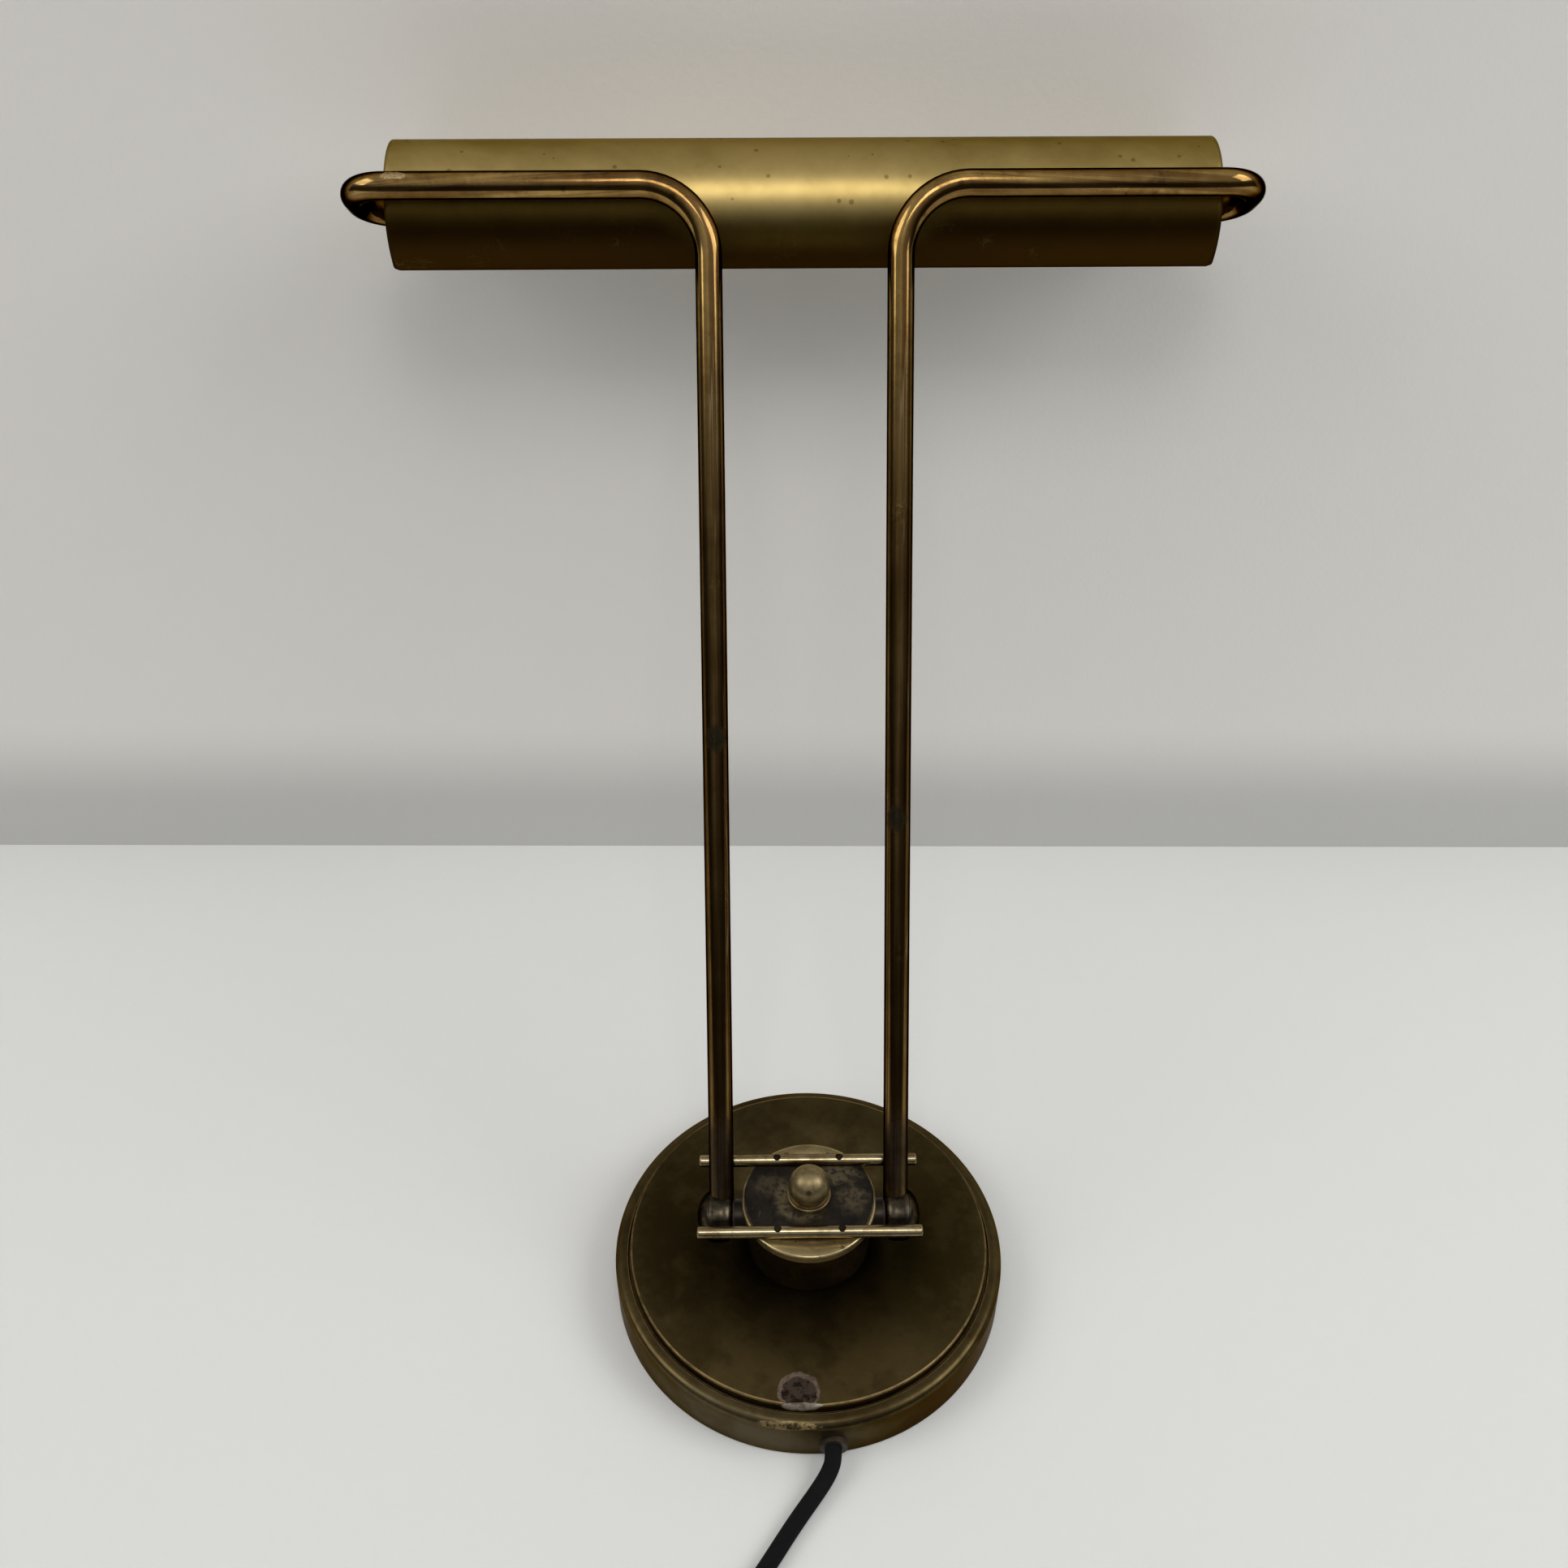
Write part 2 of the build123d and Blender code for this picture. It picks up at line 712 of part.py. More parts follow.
def trough_band(outer, inner, start, size):
    """The face of a bent strip of the shade's sheet."""
    with BuildLine() as border:
        CenterArc((0, 0), outer, start, size)
        CenterArc((0, 0), inner, start, size)
        for angle in (radians(start), radians(start + size)):
            Line((inner * cos(angle), inner * sin(angle)), (outer * cos(angle), outer * sin(angle)))
    make_face(border.edges())


with BuildPart() as shade_trough:
    with BuildSketch(shade_section(0)):
        trough_band(shade_radius, shade_bore, rear_lip_angle, shade_wrap)
    extrude(amount=shade_end, both=True)
    straight = shade_trough.edges().filter_by(GeomType.LINE)
    corners = straight.filter_by(lambda edge: edge.length < 2 * shade_wall)
    fillet(corners, lip_corner_round)
    with BuildSketch(shade_section(0)):
        trough_band(shade_bore, shade_bore - shade_wall, rear_lip_angle, hem_angle)
        trough_band(shade_bore, shade_bore - shade_wall, front_lip_angle - hem_angle, hem_angle)
    extrude(amount=bush_inner_face, both=True)
save(shade_trough, "shade_trough")

for side_name, side in sides:
    with BuildPart() as end_plate:
        with BuildSketch(shade_section(side * plate_inner_face)):
            Circle(shade_bore - fixed_gap)
            with Locations(Location((0, 0, 0), (0, 0, crown_angle))):
                with Locations(((shade_bore - chord_depth) / 2, 0)):
                    Rectangle(shade_bore + chord_depth, 2 * shade_bore, mode=Mode.INTERSECT)
            Circle(tube_radius + running_gap + bush_wall + fixed_gap, mode=Mode.SUBTRACT)
        extrude(amount=-side * end_plate_thickness)
    save(end_plate, f"{side_name}_end_plate")

    with BuildPart() as end_bush:
        with BuildSketch(shade_section(side * bush_inner_face)):
            Circle(bush_flange_radius)
        extrude(amount=-side * bush_flange_thickness)
        with BuildSketch(shade_section(side * plate_inner_face)):
            Circle(tube_radius + running_gap + bush_wall)
        extrude(amount=-side * end_plate_thickness)
        with BuildSketch(shade_section(side * bush_inner_face)):
            Circle(tube_radius + running_gap)
        extrude(amount=-side * (bush_flange_thickness + end_plate_thickness), mode=Mode.SUBTRACT)
    save(end_bush, f"{side_name}_end_bush")

    with BuildPart() as set_collar:
        with BuildSketch(shade_section(side * collar_inner_face)):
            Circle(set_collar_radius)
            Circle(tube_radius + fixed_gap, mode=Mode.SUBTRACT)
        extrude(amount=-side * set_collar_width)
        circles = set_collar.edges().filter_by(GeomType.CIRCLE)
        chamfer(circles.sort_by(SortBy.RADIUS)[-2:], fine_edge_break)
    save(set_collar, f"{side_name}_set_collar")

# The light: a lampholder on each tube end, with a tubular bulb pointing inwards

shade_axis = Axis(shade_centre, (1, 0, 0))
bulb_face = holder_face - bulb_cap_showing
holder_shoulder = holder_face + holder_length
holder_floor = tube_end - holder_floor_gap
socket_radius = bulb_cap_radius + holder_socket_gap
contact_end = bulb_face + bulb_cap_length
bulb_tip = bulb_face - bulb_length
bulb_shoulder = bulb_face - bulb_neck_length


def axial_plane(side):
    """The plane along the shade's axis, x outwards on one side, for turned outlines."""
    return Plane(origin=shade_centre, x_dir=(side, 0, 0), z_dir=arm_plane.y_dir)


for side_name, side in sides:
    with BuildPart() as lampholder:
        with BuildSketch(axial_plane(side)):
            Polygon(
                (holder_face, socket_radius),
                (holder_face, holder_radius - holder_edge_break),
                (holder_face + holder_edge_break, holder_radius),
                (holder_shoulder - holder_cone_length, holder_radius),
                (holder_shoulder, holder_neck_radius + holder_neck_wall),
                (holder_shoulder, holder_neck_radius),
                (holder_end, holder_neck_radius),
                (holder_end, tube_radius + fixed_gap),
                (holder_floor, tube_radius + fixed_gap),
                (holder_floor, socket_radius),
                align=None,
            )
        revolve(axis=shade_axis)
    save(lampholder, f"{side_name}_lampholder")

    with BuildPart() as bulb_cap:
        with BuildSketch(axial_plane(side)):
            Polygon(
                (bulb_face, 0),
                (bulb_face, bulb_cap_radius),
                (contact_end - bulb_contact_length, bulb_cap_radius),
                (contact_end - bulb_contact_step, bulb_contact_radius),
                (contact_end, bulb_contact_end_radius),
                (contact_end, 0),
                align=None,
            )
        revolve(axis=shade_axis)
    save(bulb_cap, f"{side_name}_bulb_cap")

    with BuildPart() as bulb_glass:
        with BuildSketch(axial_plane(side)):
            for wall, inward in ((0.0, Mode.ADD), (bulb_glass_wall, Mode.SUBTRACT)):
                with BuildLine():
                    Polyline(
                        (bulb_tip + wall, 0),
                        (bulb_face, 0),
                        (bulb_face, bulb_cap_radius - bulb_neck_inset - wall),
                        (bulb_shoulder, bulb_radius - wall),
                        (bulb_tip + bulb_radius, bulb_radius - wall),
                    )
                    TangentArc(
                        (bulb_tip + bulb_radius, bulb_radius - wall),
                        (bulb_tip + wall, 0),
                        tangent=(-1, 0),
                    )
                make_face(mode=inward)
        revolve(axis=shade_axis)
    save(bulb_glass, f"{side_name}_bulb_glass")

# The switch on the cord: two shells screwed together round a rocker

heading = radians(switch_heading)
switch_along = Vector(cos(heading), sin(heading), 0)
switch_start = Vector(*behind(*switch_inlet, switch_split))
switch_end = switch_start + switch_along * switch_length
switch_middle = (switch_start + switch_end) / 2
switch_floor = Plane(origin=(switch_middle.X, switch_middle.Y, 0), x_dir=switch_along, z_dir=(0, 0, 1))
rocker_centre = switch_floor.from_local_coords((0, 0, rocker_pin_height))
switch_ceiling = switch_height - switch_wall
switch_inside_length = switch_length - 2 * switch_wall
switch_inside_width = switch_width - 2 * switch_wall


def switch_level(height):
    """The plane of the switch at a height, x along the cord."""
    return switch_floor.offset(height)


def switch_cord_holes():
    """Cuts the way in and out for the cord through both ends of a shell."""
    for end in (-1, 1):
        end_plane = Plane(
            origin=switch_floor.from_local_coords((end * switch_length / 2, 0, switch_split)),
            z_dir=switch_along * -end,
        )
        with BuildSketch(end_plane) as hole:
            Circle(cord_radius + fixed_gap)
        extrude(hole.sketch, amount=switch_cord_depth, mode=Mode.SUBTRACT)


def switch_posts(bottom, top, radius, mode=Mode.ADD):
    """Round posts or holes at the two screw places, between two heights."""
    with BuildSketch(switch_level(bottom)) as posts:
        with Locations(switch_post_offset, (-switch_post_offset[0], -switch_post_offset[1])):
            Circle(radius)
    extrude(posts.sketch, amount=top - bottom, mode=mode)


with BuildPart() as switch_lower_shell:
    with BuildSketch(switch_level(0)):
        RectangleRounded(switch_length, switch_width, switch_corner)
    extrude(amount=switch_split)
    fillet(switch_lower_shell.edges().group_by(Axis.Z)[0], switch_bottom_round)
    with BuildSketch(switch_level(switch_wall)):
        RectangleRounded(switch_inside_length, switch_inside_width, switch_corner - switch_wall)
    extrude(amount=switch_split - switch_wall, mode=Mode.SUBTRACT)
    switch_posts(switch_wall, switch_split, switch_post_radius)
    switch_cord_holes()
    switch_posts(0, switch_wall, switch_screw_head_radius + fixed_gap, Mode.SUBTRACT)
    switch_posts(switch_wall, switch_split, switch_screw_radius + fixed_gap, Mode.SUBTRACT)
save(switch_lower_shell, "switch_lower_shell")

with BuildPart() as switch_upper_shell:
    with BuildSketch(switch_level(switch_split)):
        RectangleRounded(switch_length, switch_width, switch_corner)
    extrude(amount=switch_height - switch_split)
    fillet(switch_upper_shell.edges().group_by(Axis.Z)[-1], switch_top_round)
    with BuildSketch(switch_level(switch_split)):
        RectangleRounded(switch_inside_length, switch_inside_width, switch_corner - switch_wall)
    extrude(amount=switch_ceiling - switch_split, mode=Mode.SUBTRACT)
    switch_posts(switch_split, switch_ceiling, switch_post_radius)
    with BuildSketch(switch_level(switch_split + rocker_lug_gap)):
        Rectangle(2 * (rocker_pin_radius + rocker_lug_wall), rocker_width + 2 * (rocker_gap + rocker_lug))
    extrude(amount=switch_ceiling - switch_split - rocker_lug_gap)
    with BuildSketch(switch_level(switch_split)):
        Rectangle(rocker_opening_length, rocker_width + 2 * rocker_gap)
    extrude(amount=switch_height - switch_split, mode=Mode.SUBTRACT)
    with BuildSketch(Plane(origin=rocker_centre, z_dir=switch_floor.y_dir)):
        Circle(rocker_pin_radius + fixed_gap)
    extrude(amount=switch_inside_width / 2, both=True, mode=Mode.SUBTRACT)
    switch_cord_holes()
    hole_top = switch_ceiling - switch_hole_end_gap
    switch_posts(switch_split, hole_top, switch_screw_radius + fixed_gap, Mode.SUBTRACT)
save(switch_upper_shell, "switch_upper_shell")

rocker_along = switch_along * cos(radians(rocker_tilt)) - Vector(0, 0, sin(radians(rocker_tilt)))
rocker_plane = Plane(origin=rocker_centre, x_dir=rocker_along, z_dir=-switch_floor.y_dir)
with BuildPart() as switch_rocker:
    with BuildSketch(rocker_plane):
        Polygon(
            (-rocker_sweep_radius, -rocker_drop),
            (rocker_sweep_radius, -rocker_drop),
            (rocker_sweep_radius, rocker_rise),
            (0, rocker_dip),
            (-rocker_sweep_radius, rocker_rise),
            align=None,
        )
        Circle(rocker_sweep_radius, mode=Mode.INTERSECT)
        Circle(rocker_pin_radius + running_gap, mode=Mode.SUBTRACT)
    extrude(amount=rocker_width / 2, both=True)
save(switch_rocker, "switch_rocker")

with BuildPart() as rocker_pin:
    with BuildSketch(rocker_plane):
        Circle(rocker_pin_radius)
    extrude(amount=rocker_width / 2 + rocker_gap + rocker_lug, both=True)
save(rocker_pin, "rocker_pin")

with BuildPart() as switch_screws:
    switch_posts(switch_screw_sink, switch_wall, switch_screw_head_radius)
    switch_posts(switch_wall, switch_ceiling - switch_screw_end_gap, switch_screw_radius)
save(switch_screws, "switch_screws")

# The cord that is put away behind the lamp: a flat coil in two layers, made as one tube

layer_step = coil_pitch / 2
coil_outer_radius = coil_mean_radius + layer_step * coil_half_turns_in / 2
inward_radii = [coil_outer_radius - layer_step * step for step in range(coil_half_turns_in)]
climb_radius = inward_radii[-1] - layer_step - coil_climb_inset
coil_radii = inward_radii + [climb_radius, climb_radius] + inward_radii[:0:-1]
coil_middle = Vector(*behind(*coil_centre, cord_radius))


def coil_point(half_turns):
    """The place on the coil after a number of half turns from its front."""
    layer = 0 if half_turns <= coil_half_turns_in else 1
    towards = -1 if half_turns % 2 == 0 else 1
    return coil_middle + Vector(0, towards * coil_radii[half_turns], layer * coil_pitch)


coil_turns = len(coil_radii) - 1
coil_start = coil_point(0)
last_radius = coil_radii[-1] + layer_step / 2
coil_quarter = coil_point(coil_turns) + Vector(last_radius, last_radius, 0)
coil_end = coil_quarter + Vector(0, cord_diameter, 0)
with BuildPart() as cord_coil:
    with BuildLine() as coil_route:
        Line(coil_start - Vector(cord_diameter, 0, 0), coil_start)
        for step in range(coil_turns):
            near = coil_point(step)
            far = coil_point(step + 1)
            tangent = Vector(1 if step % 2 == 0 else -1, 0, 0)
            middle = (near + far) / 2 + tangent * ((far - near).length / 2)
            TangentArc(near, middle, tangent=tangent)
            TangentArc(middle, far, tangent=far - near)
        TangentArc(coil_point(coil_turns), coil_quarter, tangent=(1, 0, 0))
        Line(coil_quarter, coil_end)
    with BuildSketch(Plane(origin=coil_start - Vector(cord_diameter, 0, 0), z_dir=(1, 0, 0))):
        Circle(cord_radius)
    sweep(path=coil_route.wire())
save(cord_coil, "cord_coil")

coil_length = coil_route.wire().length
coil_share = cord_coil.part.volume / (pi * cord_radius**2 * coil_length)
print("cord_coil length", round(coil_length, 1), "volume over section times length", round(coil_share, 4))
route_edges = coil_route.wire().edges().sort_by(coil_route.wire())
route_points = []
travelled = 0.0
for edge in route_edges:
    steps = max(2, int(edge.length / 2))
    shares = [step / steps for step in range(steps)]
    route_points += [(travelled + edge.length * share, edge @ share) for share in shares]
    travelled += edge.length
least = min(
    (a - b).length
    for index, (place, a) in enumerate(route_points)
    for other, b in route_points[index + 1 :]
    if other - place > 4 * cord_diameter
)
print("cord_coil least gap to itself", round(least - cord_diameter, 2))

# The loose runs of cord: from the base to the switch, on to the coil, and from the coil to the plug


def headed_route(start, runs):
    """Points from a start by runs of compass heading in degrees, length and rise."""
    points = [start]
    for degrees, length, rise in runs:
        angle = radians(degrees)
        points.append(points[-1] + Vector(length * cos(angle), length * sin(angle), rise))
    return points


lead_length = cord_tube(
    "cord_lead",
    [
        behind(cord_exit_x, grommet_reach, cord_exit_height),
        behind(cord_exit_x, -5.2, cord_exit_height),
        behind(6.4, -9.6, 6.6),
        behind(2.6, -15.2, 4.9),
        behind(-7.0, -27.4, 3.4),
        behind(-17.3, -42.9, 3.3),
        behind(-24.2, -53.2, 4.6),
        behind(-30.4, -63.1, switch_split),
        tuple(switch_start + switch_along * switch_cord_depth),
    ],
    cord_radius,
)

link_start = switch_end - switch_along * switch_cord_depth
link_runs = (
    (switch_heading, 12.5, 0),
    (-98.6, 10.7, -0.7),
    (-74.0, 10.7, -1.0),
    (-49.3, 10.7, -0.9),
    (-26.6, 10.7, -0.7),
    (-7.0, 16.0, -0.4),
)
link_end = coil_start - Vector(cord_diameter, 0, 0)
link_last_run = 24.0
link_points = headed_route(link_start, link_runs) + [link_end - Vector(link_last_run, 0, 0), link_end]
link_length = cord_tube("cord_link", [tuple(point) for point in link_points], cord_radius)

plug_height = plug_thickness / 2
plug_heading = -6.0
tail_runs = (
    (90.0, 9.0, 0),
    (66.0, 11.0, -0.5),
    (42.0, 11.0, -1.3),
    (18.0, 11.0, -1.8),
    (plug_heading, 13.0, 0),
)
tail_points = headed_route(coil_end, tail_runs)
print("cord_tail ends at", tail_points[-1], "plug height", plug_height)
tail_length = cord_tube("cord_tail", [tuple(point) for point in tail_points], cord_radius)
print("whole cord", round(lead_length + link_length + coil_length + tail_length))

# The plug: a flat moulded body with two round pins

plug_angle = radians(plug_heading)
plug_along = Vector(cos(plug_angle), sin(plug_angle), 0)
plug_nose_tip = Vector(tail_points[-1].X, tail_points[-1].Y, 0) - plug_along * plug_socket_depth
plug_floor = Plane(origin=plug_nose_tip, x_dir=plug_along, z_dir=(0, 0, 1))
plug_face = plug_snout_length + plug_length


def plug_section(along):
    """The plane across the plug at a distance from the nose's tip."""
    centre = plug_floor.from_local_coords((along, 0, plug_height))
    return Plane(origin=centre, x_dir=plug_floor.y_dir, z_dir=plug_along)


with BuildPart() as plug_body:
    with BuildSketch(plug_floor):
        with BuildLine():
            Polyline(
                (plug_snout_length, -plug_snout_radius),
                (plug_snout_length + plug_nose, -plug_width / 2),
                (plug_face, -plug_width / 2),
                (plug_face, plug_width / 2),
                (plug_snout_length + plug_nose, plug_width / 2),
                (plug_snout_length, plug_snout_radius),
                close=True,
            )
        make_face()
    extrude(amount=plug_thickness)
    fillet(plug_body.faces().filter_by(Axis.Z).edges(), plug_edge_round)
    with BuildSketch(plug_section(0)):
        Circle(plug_snout_radius - plug_snout_taper)
    with BuildSketch(plug_section(plug_snout_length + plug_snout_overlap)):
        Circle(plug_snout_radius)
    loft()
    with BuildSketch(plug_section(0)):
        Circle(cord_radius + fixed_gap)
    extrude(amount=plug_socket_depth, mode=Mode.SUBTRACT)
save(plug_body, "plug_body")

with BuildPart() as plug_pins:
    with BuildSketch(plug_section(plug_face)):
        with Locations((-pin_spacing / 2, 0), (pin_spacing / 2, 0)):
            Circle(plug_pin_radius)
    extrude(amount=plug_pin_length)
    fillet(plug_pins.edges().filter_by(GeomType.CIRCLE).sort_by(Axis.X)[-2:], plug_pin_round)
save(plug_pins, "plug_pins")
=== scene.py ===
"""Looks of a brass desk lamp with a trough shade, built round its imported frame."""

import logging
from dataclasses import dataclass
from enum import Enum
from math import atan2, cos, pi, radians, sin, sqrt, tan

import bpy
import numpy as np
from mathutils import Matrix, Vector


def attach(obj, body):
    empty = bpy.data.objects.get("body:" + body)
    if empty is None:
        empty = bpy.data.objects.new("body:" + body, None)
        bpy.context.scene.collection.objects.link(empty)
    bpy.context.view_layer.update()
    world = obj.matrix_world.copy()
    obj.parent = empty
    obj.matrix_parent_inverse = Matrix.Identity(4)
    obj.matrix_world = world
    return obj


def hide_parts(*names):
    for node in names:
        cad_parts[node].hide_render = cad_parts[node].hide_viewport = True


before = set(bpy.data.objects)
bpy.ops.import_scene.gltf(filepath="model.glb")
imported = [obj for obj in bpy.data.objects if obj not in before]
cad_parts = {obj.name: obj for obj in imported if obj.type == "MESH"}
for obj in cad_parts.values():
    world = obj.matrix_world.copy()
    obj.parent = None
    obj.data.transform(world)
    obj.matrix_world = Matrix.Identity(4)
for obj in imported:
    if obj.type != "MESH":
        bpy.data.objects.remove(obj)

logging.basicConfig(level=logging.INFO, format="%(message)s")
log = logging.getLogger("desk_lamp")

Place = tuple[float, float, float]
Colour = tuple[float, float, float]
Socket = bpy.types.NodeSocket
NodeValue = float | Place | Socket

MM = 0.001
SUPPORT_SHARE = 0.4
SUPPORT_MOST = 0.3
FAN_HEIGHT = 0.001
ORIGIN = (0.0, 0.0, 0.0)
AXIS_X = np.array([1.0, 0.0, 0.0])
AXIS_Z = np.array([0.0, 0.0, 1.0])


class Body(Enum):
    """The bodies of the frame that a piece can move with."""

    BASE = "base"
    HEAD = "head"
    ARM = "arm"
    SHADE = "shade"


class Slot(Enum):
    """The record's material slots."""

    AGED = "aged_brass"
    POLISHED = "polished_brass"
    SATIN = "satin_brass"
    BRONZE = "dark_bronze"
    TEXTILE = "textile_cord"


# Surfaces worked out as arrays


def unit(vector: np.ndarray) -> np.ndarray:
    """The vectors of an array brought to length one."""
    return vector / np.linalg.norm(vector, axis=-1, keepdims=True)


def placed(name: str, data: bpy.types.ID) -> bpy.types.Object:
    """Makes an object of a mesh, curve, light or camera.

    Args:
        name: The object's name.
        data: What it shows.

    Returns:
        The new object, linked to the scene.
    """
    piece = bpy.data.objects.new(name, data)
    bpy.context.scene.collection.objects.link(piece)
    return piece


def make_object(name: str, points: np.ndarray, faces: np.ndarray, uv: np.ndarray) -> bpy.types.Object:
    """Makes a smooth mesh object whose faces point outwards.

    They are turned round if they enclose a negative volume. A turned triangle repeats its first corner, so
    its corners are rolled on by one, and then every triangle leaves out its last.

    Args:
        name: The piece's name.
        points: Corners in metres, one row each.
        faces: Four corner numbers per face; a triangle repeats its last one.
        uv: Surface coordinates in metres, one row per face corner, four per face.

    Returns:
        The new object, linked to the scene.
    """
    first, second, third, last = (points[faces[:, k]] for k in range(4))
    volume = np.einsum("ij,ij->i", first, np.cross(second, third)).sum()
    volume += np.einsum("ij,ij->i", first, np.cross(third, last)).sum()
    uv = uv.reshape(-1, 4, 2)
    if volume < 0:
        faces, uv = faces[:, ::-1], uv[:, ::-1]
    repeats_first = faces[:, 0] == faces[:, 1]
    is_triangle = repeats_first | (faces[:, 3] == faces[:, 2])
    rolled = np.where(repeats_first[:, None], np.roll(faces, -1, axis=1), faces)
    rolled_uv = np.where(repeats_first[:, None, None], np.roll(uv, -1, axis=1), uv)
    keep = np.ones(faces.shape, dtype=bool)
    keep[is_triangle, 3] = False
    counts = keep.sum(axis=1)
    mesh = bpy.data.meshes.new(name)
    mesh.vertices.add(len(points))
    mesh.vertices.foreach_set("co", points.astype(np.float32).ravel())
    mesh.loops.add(int(counts.sum()))
    mesh.loops.foreach_set("vertex_index", rolled[keep].astype(np.int32))
    mesh.polygons.add(len(faces))
    mesh.polygons.foreach_set("loop_start", (np.cumsum(counts) - counts).astype(np.int32))
    mesh.polygons.foreach_set("use_smooth", np.ones(len(faces), dtype=bool))
    mesh.uv_layers.new(name="UVMap").data.foreach_set("uv", rolled_uv[keep].astype(np.float32).ravel())
    mesh.update(calc_edges=True)
    mesh.validate()
    return placed(name, mesh)


def ring_surface(name: str, rings: np.ndarray, joined: bool = False) -> bpy.types.Object:
    """A surface through a row of closed rings, such as a turned piece or a tube.

    The face between rings i and i+1 and points j and j+1 of a ring has those four corners. The two
    end rings are closed by a fan to their middle, or joined to each other.

    Args:
        name: The piece's name.
        rings: Points in metres, as rings by points by three.
        joined: Whether the last ring is joined back to the first.

    Returns:
        The new object.
    """
    count, around = rings.shape[:2]
    points = rings.reshape(-1, 3)
    rows = np.arange(count if joined else count - 1)[:, None]
    columns = np.arange(around)[None, :]
    following = (rows + 1) % count
    beside = (columns + 1) % around
    here, there = rows * around, following * around
    faces = np.stack([here + columns, here + beside, there + beside, there + columns], axis=-1)
    faces = faces.reshape(-1, 4)
    step = np.linalg.norm(np.diff(rings, axis=0, append=rings[:1]), axis=-1).mean(axis=1)
    along = np.concatenate([[0.0], np.cumsum(step)])
    edge = np.linalg.norm(np.roll(rings, -1, axis=1) - rings, axis=-1).mean(axis=0)
    across = np.concatenate([[0.0], np.cumsum(edge)])
    edges = (across[:-1], across[1:], along[rows], along[rows + 1])
    left, right, low, high = (np.broadcast_to(part, (len(rows), around)) for part in edges)
    pairs = ((left, low), (right, low), (right, high), (left, high))
    uv = np.stack([np.stack(pair, axis=-1) for pair in pairs], axis=2).reshape(-1, 2)
    if not joined:
        centres = np.stack([rings[0].mean(axis=0), rings[-1].mean(axis=0)])
        points = np.concatenate([points, centres])
        ring = np.arange(around)
        beside = (ring + 1) % around
        start = np.stack([beside, ring, *[np.full(around, count * around)] * 2], axis=1)
        base = (count - 1) * around
        end = np.stack([base + ring, base + beside, *[np.full(around, count * around + 1)] * 2], axis=1)
        faces = np.concatenate([faces, start, end])
        spread = np.stack([across[1:], across[:-1], across[:-1], across[:-1]], axis=1)
        height = np.broadcast_to([0.0, 0.0, FAN_HEIGHT, FAN_HEIGHT], (around, 4))
        fan = np.stack([spread, -height], axis=-1).reshape(-1, 2)
        top = np.stack([spread, along[count - 1] + height], axis=-1).reshape(-1, 2)
        uv = np.concatenate([uv, fan, top])
    return make_object(name, points, faces, uv)


def rounded(corners: list[Place], steps: int = 5) -> np.ndarray:
    """A profile whose inner corners are replaced by arcs.

    Each arc runs between the points where a circle of the corner's radius touches its two lines. A
    supporting point a little before and after each arc keeps the flat stretches flat under smooth shading.

    Args:
        corners: Radius and height of each corner, and the radius of its arc, zero for one that stays,
            all in millimetres.
        steps: Points on each arc.

    Returns:
        The profile's points in millimetres.
    """
    parts = []
    table = np.array(corners, dtype=float)
    points = table[:, :2]
    for index, radius in enumerate(table[:, 2]):
        point = points[index]
        if radius <= 0 or index in (0, len(points) - 1):
            parts.append(point[None])
            continue
        back = unit(points[index - 1] - point)
        ahead = unit(points[index + 1] - point)
        half = np.arccos(np.clip(back @ ahead, -1, 1)) / 2
        reach = radius / tan(half)
        centre = point + unit(back + ahead) * radius / sin(half)
        start, end = point + back * reach, point + ahead * reach
        turn = np.linspace(0, 1, steps)[:, None]
        blend = (start - centre) * (1 - turn) + (end - centre) * turn
        arc = centre + unit(blend) * radius
        support = min(SUPPORT_SHARE * radius, SUPPORT_MOST)
        parts.append(np.concatenate([(start + back * support)[None], arc, (end + ahead * support)[None]]))
    return np.concatenate(parts)


def turned(
    name: str,
    profile: np.ndarray,
    centre: Place = ORIGIN,
    axis: np.ndarray = AXIS_Z,
    around: int = 128,
    joined: bool = False,
) -> bpy.types.Object:
    """A piece turned on a lathe: each profile point (radius, height) becomes a circle about the axis.

    Args:
        name: The piece's name.
        profile: Radius and height in millimetres, one row per ring.
        centre: A point of the axis at height zero, in millimetres.
        axis: The axis direction.
        around: Points on each ring.
        joined: Whether the profile is a closed loop.

    Returns:
        The new object.
    """
    axis = unit(np.array(axis, dtype=float))
    helper = AXIS_Z if abs(axis[0]) > abs(axis[2]) else AXIS_X
    first = unit(np.cross(helper, axis))
    second = np.cross(axis, first)
    angle = np.linspace(0, 2 * pi, around, endpoint=False)[None, :, None]
    spoke = np.cos(angle) * first + np.sin(angle) * second
    rings = np.array(centre) + spoke * profile[:, 0][:, None, None] + axis * profile[:, 1][:, None, None]
    return ring_surface(name, rings * MM, joined)


